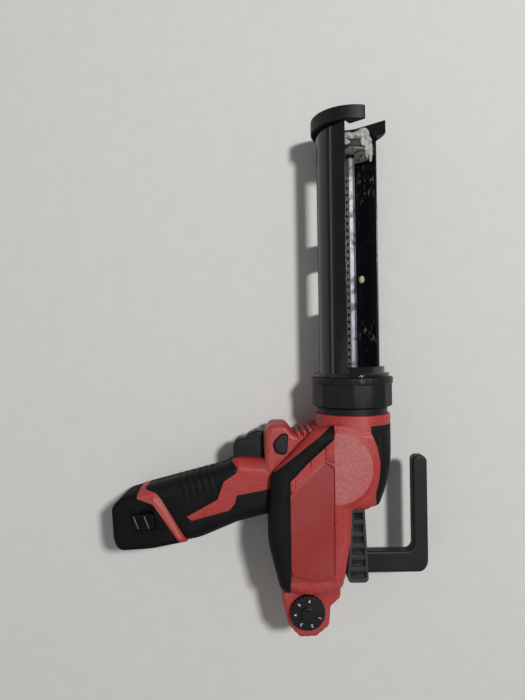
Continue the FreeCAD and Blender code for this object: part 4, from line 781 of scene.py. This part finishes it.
@dataclass
class HousingShell(Assembly):
    """The red halves, their rubber skins and their screws."""

    boss: Vector = spot(-19.3, -43.1, 0.0)
    panel_low: Vector = spot(-62.0, -138.0, 0.0)
    panel_high: Vector = spot(-21.3, 0.0, 0.0)
    panel_corner: Vector = spot(0.0, -9.0, 0.0)
    wrap_place: Vector = spot(0.0, 10.6, 0.0)
    wrap_slope: float = 0.8
    horn_place: Vector = spot(0.0, -148.0, 0.0)
    horn_slope: float = -1.0
    horn_limit: Vector = spot(-97.0, 0.0, 0.0)
    rim_foot: Vector = spot(-19.3, -43.1, 33.4)
    rim_radii: tuple[float, float, float] = (0.0357, 0.0305, 0.026)
    rim_rise: float = 0.00259
    rim_sink: float = 0.0074
    rim_corners: int = 180
    bevel_slack: float = 0.00002
    bevel_facing: tuple[float, float] = (0.8, 0.95)
    rim_left: Vector = spot(-20.9, -43.1, 33.4)
    red: Colour = linear(158, 41, 39)
    rubber: RubberSkin = RubberSkin("overmould_rubber")
    screw: GroundSteel = GroundSteel("screw_steel", linear(96, 97, 100), linear(52, 50, 49), 0.38)

    def build(self) -> None:
        """Makes and dresses the pieces."""
        slant = self.panel_corner.x - self.panel_corner.y
        # the pale dust colour also serves as the painted sheen on the boss disc
        red = ShellPlastic("red_moulding", self.red, linear(196, 100, 94), linear(190, 158, 154), dusty=0.08,
                           boss=self.boss.xy[:], panel_low=self.panel_low.xy[:], panel_high=self.panel_high.xy[:],
                           panel_slant=slant)
        shell = red.make()
        self.dress(shell, "red_shell", ("left_housing",), shape=self.raise_rim)
        self.dress(shell, "red_shell", ("right_housing",))
        start = self.wrap_place.y - self.wrap_slope * self.wrap_place.x
        band = RubberSkin("bumper_rubber", shell_tone=self.red, shell_slope=self.wrap_slope, shell_start=start)
        self.dress(band.make(), "black_rubber", ("left_bumper", "right_bumper"), Edges.SOFT)
        start = self.horn_place.y - self.horn_slope * self.horn_place.x
        hold = RubberSkin("grip_rubber", shell_tone=self.red, shell_slope=self.horn_slope, shell_start=start,
                          shell_limit=self.horn_limit.x)
        self.dress(hold.make(), "black_rubber", ("left_grip", "right_grip"), Edges.SOFT)
        self.dress(self.rubber.make(), "black_rubber", ("left_top_cover", "right_top_cover"), Edges.SOFT)
        self.dress(self.screw.make(), "dark_steel", ("housing_screws",), Edges.CUT)

    def raise_rim(self, piece: bpy.types.Object) -> None:
        """Adds the bevelled rim that runs round the boss, from the panel's groove to the neck."""
        foot, flat, hole = self.rim_radii
        rim = added(bpy.ops.mesh.primitive_cylinder_add, vertices=self.rim_corners, radius=foot, depth=self.rim_sink,
                    location=self.rim_foot - Vector((0.0, 0.0, self.rim_sink / 2)))
        bpy.ops.object.mode_set(mode="EDIT")
        bpy.ops.mesh.select_mode(type="FACE")
        bpy.ops.mesh.select_all(action="DESELECT")
        bpy.ops.object.mode_set(mode="OBJECT")
        for face in rim.data.polygons:
            face.select = face.normal.z > 0.5
        bpy.ops.object.mode_set(mode="EDIT")
        bpy.ops.mesh.extrude_region_move(TRANSFORM_OT_translate={"value": (0.0, 0.0, self.rim_rise)})
        bpy.ops.transform.resize(value=(flat / foot, flat / foot, 1.0))
        bpy.ops.mesh.select_mode(type="VERT")
        bpy.ops.object.mode_set(mode="OBJECT")
        inside = added(bpy.ops.mesh.primitive_cylinder_add, vertices=ROUND_CORNERS, radius=hole,
                       depth=4 * self.rim_sink, location=self.rim_foot)
        beside = added(bpy.ops.mesh.primitive_cube_add, size=4 * foot,
                       location=self.rim_left - Vector((2 * foot, 0.0, 0.0)))
        for cutter in (inside, beside):
            combine(rim, cutter, "DIFFERENCE")
        combine(piece, rim, "UNION")
        self.crease(piece)

    def crease(self, piece: bpy.types.Object) -> None:
        """Keeps the borders of the rim's bevel crisp."""
        foot, flat, _ = self.rim_radii
        slack, (steep, shallow) = self.bevel_slack, self.bevel_facing
        on_bevel = []
        for vertex in piece.data.vertices:
            away = vertex.co - self.rim_foot
            bevel_radius = foot + (flat - foot) * away.z / self.rim_rise
            level = -slack < away.z < self.rim_rise + slack
            on_bevel.append(level and abs(away.xy.length - bevel_radius) < slack * 3)
        sides: dict[tuple[int, int], int] = {}
        for face in piece.data.polygons:
            bevel = all(on_bevel[index] for index in face.vertices) and steep < face.normal.z < shallow
            for key in face.edge_keys:
                sides[key] = sides.get(key, 0) + bevel
        for edge in piece.data.edges:
            if sides[edge.key] == 1:
                edge.use_edge_sharp = True


@dataclass(frozen=True)
class Lump:
    """One lump of a crust, in millimetres from the barrel axis and the neck."""

    place: tuple[float, float, float]
    size: tuple[float, float, float]
    turn: tuple[float, float, float] = (0.0, 0.0, 0.0)


def crust(name: str, lumps: Sequence[Lump], body: str, material: bpy.types.Material,
          voxel: float = 0.0006, relief: float = 0.0008) -> None:
    """Melts lumps together into one crust with an uneven skin.

    Args:
        name: the piece's name.
        lumps: what it is made of.
        body: the body it sticks to.
        material: the finish it wears.
        voxel: how finely the lumps are melted together, in metres.
        relief: depth of the uneven skin, in metres.
    """
    shapes = []
    for lump in lumps:
        shape = added(bpy.ops.mesh.primitive_ico_sphere_add, subdivisions=3, radius=1 / MM_PER_METRE,
                      location=barrel(*lump.place), rotation=[math.radians(angle) for angle in lump.turn])
        shape.scale = lump.size
        bpy.ops.object.transform_apply(location=True, rotation=True, scale=True)
        shapes.append(shape)
    for shape in shapes:
        shape.select_set(True)
    bpy.context.view_layer.objects.active = shapes[0]
    bpy.ops.object.join()
    piece = bpy.context.object
    piece.name = name
    only(piece)
    modify(piece, "REMESH", mode="VOXEL", voxel_size=voxel)
    modify(piece, "SMOOTH", iterations=CRUST_SETTLING)
    for scale, share in CRUST_WAVES:
        clouds = bpy.data.textures.new(name + "_lumps", "CLOUDS")
        clouds.noise_scale = scale * relief
        modify(piece, "DISPLACE", texture=clouds, strength=relief * share, mid_level=0.5)
    bpy.ops.object.shade_smooth()
    wear(piece, material)
    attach(piece, body)
    log.info("%s sticks to %s", piece.name, body)


@dataclass
class Carriage(Assembly):
    """The threaded spigot, collar and the open cartridge carriage."""

    collar: MouldedPlastic = MouldedPlastic(
        "collar_black", linear(14, 15, 17), linear(48, 48, 50), linear(92, 90, 88), 0.42, 2200.0, 0.00004, 0.02,
        shine=0.27)
    aged: DriedSealant = DriedSealant("aged_sealant", linear(206, 198, 160), linear(160, 150, 112))
    wall_smears: tuple[tuple[Vector, float], ...] = field(default_factory=lambda: (
        (barrel(19.0, 207.0, -18.0), 0.013), (barrel(19.0, 70.0, -19.0), 0.012), (barrel(12.0, 236.0, -24.0), 0.014)))
    cap_smears: tuple[tuple[Vector, float], ...] = field(default_factory=lambda: (
        (barrel(20.0, 255.0, -14.0), 0.016), (barrel(-2.0, 255.0, -26.0), 0.014)))
    blob: Lump = Lump((14.6, 122.0, -22.9), (3.0, 3.6, 1.3), (0.0, -32.0, 0.0))
    blob_fineness: tuple[float, float] = (0.0004, 0.0005)
    slot_half: float = 0.0195
    slot_turn: float = 52.0
    slot_middle: float = 258.0
    slot_depth: float = 0.02
    slot_reach: float = 0.06
    collar_rear: tuple[float, float] = (7.0, 3.5)
    collar_rear_drawn: tuple[float, float] = (5.8, 1.7)
    collar_slack: float = 0.1

    def build(self) -> None:
        """Makes and dresses the pieces."""
        collar = self.collar.make()
        self.dress(collar, "black_plastic", ("threaded_spigot",), Edges.CUT)
        self.dress(collar, "black_plastic", ("retaining_collar",), Edges.CUT, self.lengthen)
        gloss = SmearedGloss("carriage_gloss", self.wall_smears)
        self.dress(gloss.make(), "carriage_black", ("carriage_ring", "carriage_trough"))
        cap_gloss = SmearedGloss("cap_gloss", self.cap_smears, roughness=0.5, shine=0.26)
        self.dress(cap_gloss.make(), "carriage_black", ("front_cap",), shape=self.open_slot)
        crust("stray_blob", (self.blob,), "carriage", self.aged.make(), *self.blob_fineness)

    def open_slot(self, piece: bpy.types.Object) -> None:
        """Cuts the nozzle slot, with its round bottom and its open arm, through the cap's end wall."""
        middle = barrel(0.0, self.slot_middle, 0.0)
        turn = math.radians(self.slot_turn)
        reach = Vector((math.sin(turn), 0.0, math.cos(turn))) * self.slot_reach / 2
        bottom = added(bpy.ops.mesh.primitive_cylinder_add, vertices=ROUND_CORNERS, radius=self.slot_half,
                       depth=self.slot_depth, location=middle, rotation=(math.pi / 2, 0.0, 0.0))
        arm = added(bpy.ops.mesh.primitive_cube_add, size=1.0, location=middle + reach, rotation=(0.0, turn, 0.0))
        arm.scale = (2 * self.slot_half, self.slot_depth, self.slot_reach)
        for cutter in (bottom, arm):
            combine(piece, cutter, "DIFFERENCE")

    def lengthen(self, piece: bpy.types.Object) -> None:
        """Draws the collar's rear edge back towards the neck, with a smaller bevel."""
        old_rear, old_bevel = self.collar_rear
        new_rear, new_bevel = self.collar_rear_drawn
        neck = barrel(0.0, 0.0, 0.0).y
        for vertex in piece.data.vertices:
            along = (vertex.co.y - neck) * MM_PER_METRE
            if along < old_rear + old_bevel + self.collar_slack:
                vertex.co.y = neck + (new_rear + (along - old_rear) * new_bevel / old_bevel) / MM_PER_METRE


@dataclass
class PushRod(Assembly):
    """The toothed rod with its piston, end grip and pull hook, and the sealant dried on its front."""

    head_middle: Vector = spot(0.0, 221.0, 0.0)
    head_half: float = 0.0104
    bevel_shade_width: float = 0.0019
    arm_depth: float = 0.013
    arm_growth: float = 0.003
    piston: CakedPlastic = CakedPlastic(
        "piston_grey", linear(22, 23, 25), linear(70, 70, 72), roughness=0.55, dusty=0.03, shine=0.25)
    black: MouldedPlastic = MouldedPlastic(
        "hook_black", linear(19, 20, 22), linear(64, 64, 67), linear(100, 98, 96), 0.46, 2000.0, 0.00005, 0.05,
        shine=0.3)
    dark: GroundSteel = GroundSteel("black_oxide", linear(70, 70, 73), linear(40, 38, 37), 0.42)
    plug: tuple[Lump, ...] = (
        Lump((-3.0, 241.0, 13.0), (8.5, 4.6, 8.0)), Lump((6.5, 241.5, 13.0), (8.0, 5.2, 8.0)),
        Lump((13.5, 240.5, 6.0), (6.5, 5.0, 9.0)), Lump((11.5, 245.0, 9.0), (6.0, 6.5, 7.5)),
        Lump((2.0, 240.0, -5.0), (13.0, 3.6, 12.0)), Lump((-9.5, 240.0, 6.0), (6.0, 3.6, 9.0)))
    drips: tuple[Lump, ...] = (
        Lump((-5.5, 234.8, 20.7), (4.4, 3.2, 1.6), (0.0, -14.9, 0.0)),
        Lump((9.5, 235.0, 19.2), (3.6, 4.6, 1.6), (0.0, 26.4, 0.0)),
        Lump((13.5, 232.6, 16.6), (3.8, 7.6, 1.7), (0.0, 39.1, 0.0)),
        Lump((17.0, 231.0, 13.0), (3.4, 8.6, 1.7), (0.0, 52.6, 0.0)),
        Lump((13.2, 226.5, 16.8), (1.6, 4.4, 1.5), (0.0, 38.0, 0.0)),
        Lump((17.2, 224.8, 12.7), (1.5, 4.6, 1.5), (0.0, 53.0, 0.0)))

    def build(self) -> None:
        """Makes and dresses the pieces."""
        # painted shade along the rod's +X edge stands in for its bevel
        steel = GroundSteel("rack_steel", stretch=(self.head_middle.y, self.head_half),
                            oiled=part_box("rack_rod")[1].x - self.bevel_shade_width).make()
        self.dress(steel, "steel", ("rack_rod", "piston_screw"), Edges.CUT)
        self.dress(self.piston.make(), "grey_plastic", ("piston_disc",))
        grip = PocketedPlastic("rod_grip_grey", linear(46, 49, 53), linear(84, 86, 90), roughness=0.5, shine=0.3,
                               dusty=0.04, frame_height=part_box("rod_end_grip")[1].z)
        self.dress(grip.make(), "black_plastic", ("rod_end_grip",), Edges.CUT)
        self.dress(self.black.make(), "black_plastic", ("pull_hook",), shape=self.thicken_arm)
        self.dress(self.dark.make(), "dark_steel", ("hook_screw",), Edges.CUT)
        sealant = DriedSealant().make()
        crust("sealant_plug", self.plug, "rod", sealant)
        crust("sealant_drips", self.drips, "rod", sealant)

    def thicken_arm(self, piece: bpy.types.Object) -> None:
        """Draws the rear side of the hook's cross arm back, less and less towards its front side."""
        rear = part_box("pull_hook")[0].y
        for vertex in piece.data.vertices:
            share = max(0.0, 1.0 - (vertex.co.y - rear) / self.arm_depth)
            vertex.co.y -= self.arm_growth * share * share * (3.0 - 2.0 * share)


@dataclass
class Controls(Assembly):
    """Trigger, lock-off button and the numbered speed dial."""

    black: MouldedPlastic = MouldedPlastic(
        "control_black", linear(17, 18, 20), linear(60, 61, 64), linear(92, 92, 94), 0.38, 2400.0, 0.00004, 0.04,
        shine=0.3)
    numeral_radius: float = 0.0106
    numeral_height: float = 0.0025
    numeral_proud: float = 0.00012
    numeral_weight: float = 0.012
    capital_height: float = 0.72
    first_angle: float = 340.0
    last_angle: float = 82.0
    numerals: int = 6
    hub_height: float = 0.0024

    def build(self) -> None:
        """Makes and dresses the pieces."""
        self.dress(self.black.make(), "black_plastic", ("trigger", "lock_button", "speed_dial"))
        mark = PrintedMark().make()
        step = (self.first_angle - self.last_angle) / (self.numerals - 1)
        for number in range(self.numerals):
            self.numeral(str(number + 1), math.radians(self.first_angle - number * step), mark)

    def numeral(self, figure: str, angle: float, material: bpy.types.Material) -> None:
        """Prints one figure on the dial's flat, its top towards the rim.

        Args:
            figure: what is printed.
            angle: where it stands on the dial.
            material: the print.
        """
        low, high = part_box("speed_dial")
        middle = (low + high) / 2
        text = added(bpy.ops.object.text_add)
        text.data.body = figure
        text.data.size = self.numeral_height / self.capital_height
        text.data.align_x = "CENTER"
        text.data.align_y = "CENTER"
        text.data.extrude = self.numeral_proud / 2
        text.data.offset = self.numeral_weight * self.numeral_height
        text.data.resolution_u = 6
        bpy.ops.object.convert(target="MESH")
        piece = bpy.context.object
        piece.name = "dial_figure_" + figure
        out = Vector((math.cos(angle), math.sin(angle), 0.0)) * self.numeral_radius
        piece.location = Vector((middle.x, middle.y, high.z - self.hub_height + self.numeral_proud / 2)) + out
        piece.rotation_euler = (0.0, 0.0, angle - math.pi / 2)
        bpy.ops.object.transform_apply(location=True, rotation=True, scale=True)
        wear(piece, material)
        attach(piece, "speed_dial")
        log.info("%s is printed on the dial", piece.name)


@dataclass
class Battery(Assembly):
    """The stick battery with its latch buttons."""

    case: MouldedPlastic = MouldedPlastic(
        "battery_black", linear(15, 15, 17), linear(56, 56, 58), linear(96, 94, 92), 0.64, 1800.0, 0.00006, 0.02,
        shine=0.05)
    # painted highlight: the ridges are a paler grey than the black case, for the light their slants catch
    ridge: MouldedPlastic = MouldedPlastic("ridge_black", linear(70, 70, 72), linear(120, 120, 122), roughness=0.3)
    ridge_size: tuple[float, float, float] = (0.0011, 0.0115, 0.0009)
    ridge_slant: float = 21.0
    ridge_rounding: float = 0.4
    ridge_offsets: tuple[float, ...] = (-0.0062, 0.003)

    def build(self) -> None:
        """Makes and dresses the pieces."""
        latches = {"battery_latch_left": 1, "battery_latch_right": -1}
        self.dress(self.case.make(), "black_plastic", ("battery_pack", *latches))
        gloss = self.ridge.make()
        for latch, side in latches.items():
            for number, offset in enumerate(self.ridge_offsets, 1):
                self.add_ridge(latch, side, number, offset, gloss)

    def add_ridge(self, latch: str, side: int, number: int, offset: float, material: bpy.types.Material) -> None:
        """Lays one slanted thumb ridge on a latch button, its paler grey a painted highlight.

        Args:
            latch: the CAD node it lies on.
            side: 1 on the left, -1 on the right.
            number: its number on that button.
            offset: how far it stands from the button's middle.
            material: the finish it wears.
        """
        low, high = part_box(latch)
        middle = (low + high) / 2
        face = high.z if side > 0 else low.z
        piece = added(bpy.ops.mesh.primitive_cube_add, size=1.0, location=(middle.x + offset, middle.y, face),
                      rotation=(0.0, 0.0, math.radians(self.ridge_slant)))
        piece.name = f"{latch}_ridge_{number}"
        piece.scale = self.ridge_size
        bpy.ops.object.transform_apply(location=True, rotation=True, scale=True)
        modify(piece, "BEVEL", width=self.ridge_rounding * min(self.ridge_size), segments=3)
        bpy.ops.object.shade_smooth_by_angle(angle=math.radians(Edges.SOFT.value))
        wear(piece, material)
        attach(piece, frame["nodes"][latch]["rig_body"])
        log.info("%s lies on its latch", piece.name)


@dataclass
class InnerWorks(Assembly):
    """The drive, switch and contacts inside the shell, dressed as they are."""

    def build(self) -> None:
        """Gives each inner CAD node its finish."""
        finishes = {
            GroundSteel("gear_steel", linear(150, 152, 156), linear(80, 78, 76), 0.28):
                ("rack_pinion", "bevel_gear", "pinion_shaft", "bevel_pinion"),
            GroundSteel("bearing_race", linear(188, 172, 132), linear(110, 94, 66), 0.34):
                ("shaft_bearings", "output_bearing"),
            GroundSteel("motor_zinc", linear(150, 151, 150), linear(96, 95, 92), 0.4):
                ("motor_can", "gearbox_case"),
            GroundSteel("contact_brass", linear(196, 164, 92), linear(120, 96, 56), 0.3):
                ("contact_blades",),
            MouldedPlastic("inner_black", linear(44, 44, 46), linear(96, 96, 98)):
                ("motor_end_cap", "trigger_switch", "terminal_block", "rod_shoe", "rear_rod_guide", "dial_sensor"),
            MouldedPlastic("board_green", linear(38, 84, 58), linear(92, 128, 104)):
                ("control_board",),
        }
        for finish, nodes in finishes.items():
            material = finish.make()
            for node in nodes:
                wear(frame["nodes"][node], material)
                log.info("%s wears %s", node, material.name)


@dataclass(frozen=True)
class SoftBox:
    """A lamp that faces the tool: its name, where it hangs, its width and height, and its watts."""

    name: str
    place: tuple[float, float, float]
    size: tuple[float, float]
    power: float


@dataclass
class Studio:
    """Pale floor, soft lights and a camera that looks straight down on the tool's left side."""

    camera_place: Vector = spot(-80.05, 57.0, 474.0)
    camera_roll: float = -0.9
    lens: float = 27.05
    sensor_width: float = 36.0
    nearest: float = 0.01
    floor_half: float = 3.0
    world_strength: float = 0.2
    lamps: tuple[SoftBox, ...] = (
        SoftBox("key", (0.9, 0.67, 2.1), (0.26, 0.26), 46.0), SoftBox("fill", (-0.9, -0.4, 1.1), (1.2, 1.2), 1.6),
        SoftBox("strip", (-1.2, 0.3, 0.34), (2.4, 0.12), 1.5))

    def build(self) -> None:
        """Lays the floor and sets the lights, the world and the camera."""
        floor = added(bpy.ops.mesh.primitive_plane_add, size=2 * self.floor_half, location=(0.0, 0.0, CAD_BOX[0].z))
        floor.name = "studio_floor"
        bpy.ops.object.transform_apply(location=True)
        wear(floor, StudioPaper().make())
        for box in self.lamps:
            self.hang(box)
        world = bpy.data.worlds.new("studio_world")
        world.use_nodes = True
        sky = world.node_tree.nodes["Background"]
        sky.inputs["Color"].default_value = (1.0, 1.0, 1.0, 1.0)
        sky.inputs["Strength"].default_value = self.world_strength
        bpy.context.scene.world = world
        camera = bpy.data.objects.new("camera", bpy.data.cameras.new("camera"))
        bpy.context.scene.collection.objects.link(camera)
        camera.location = self.camera_place
        camera.rotation_euler = (0.0, 0.0, math.radians(self.camera_roll))
        camera.data.lens = self.lens
        camera.data.sensor_width = self.sensor_width
        camera.data.clip_start = self.nearest
        bpy.context.scene.camera = camera
        bpy.context.scene.view_settings.view_transform = "Standard"

    def hang(self, box: SoftBox) -> None:
        """Hangs one soft box."""
        data = bpy.data.lights.new(box.name, "AREA")
        data.shape = "RECTANGLE"
        data.size, data.size_y = box.size
        data.energy = box.power
        lamp = bpy.data.objects.new(box.name, data)
        bpy.context.scene.collection.objects.link(lamp)
        lamp.location = box.place
        lamp.rotation_euler = (-Vector(box.place)).to_track_quat("-Z", "Y").to_euler()


def main() -> None:
    """Builds the tool's looks, then the studio."""
    logging.basicConfig(level=logging.INFO, format="%(name)s: %(message)s")
    for assembly in (HousingShell(), Carriage(), PushRod(), Controls(), Battery(), InnerWorks()):
        assembly.build()
    Studio().build()


if __name__ == "__main__":
    main()
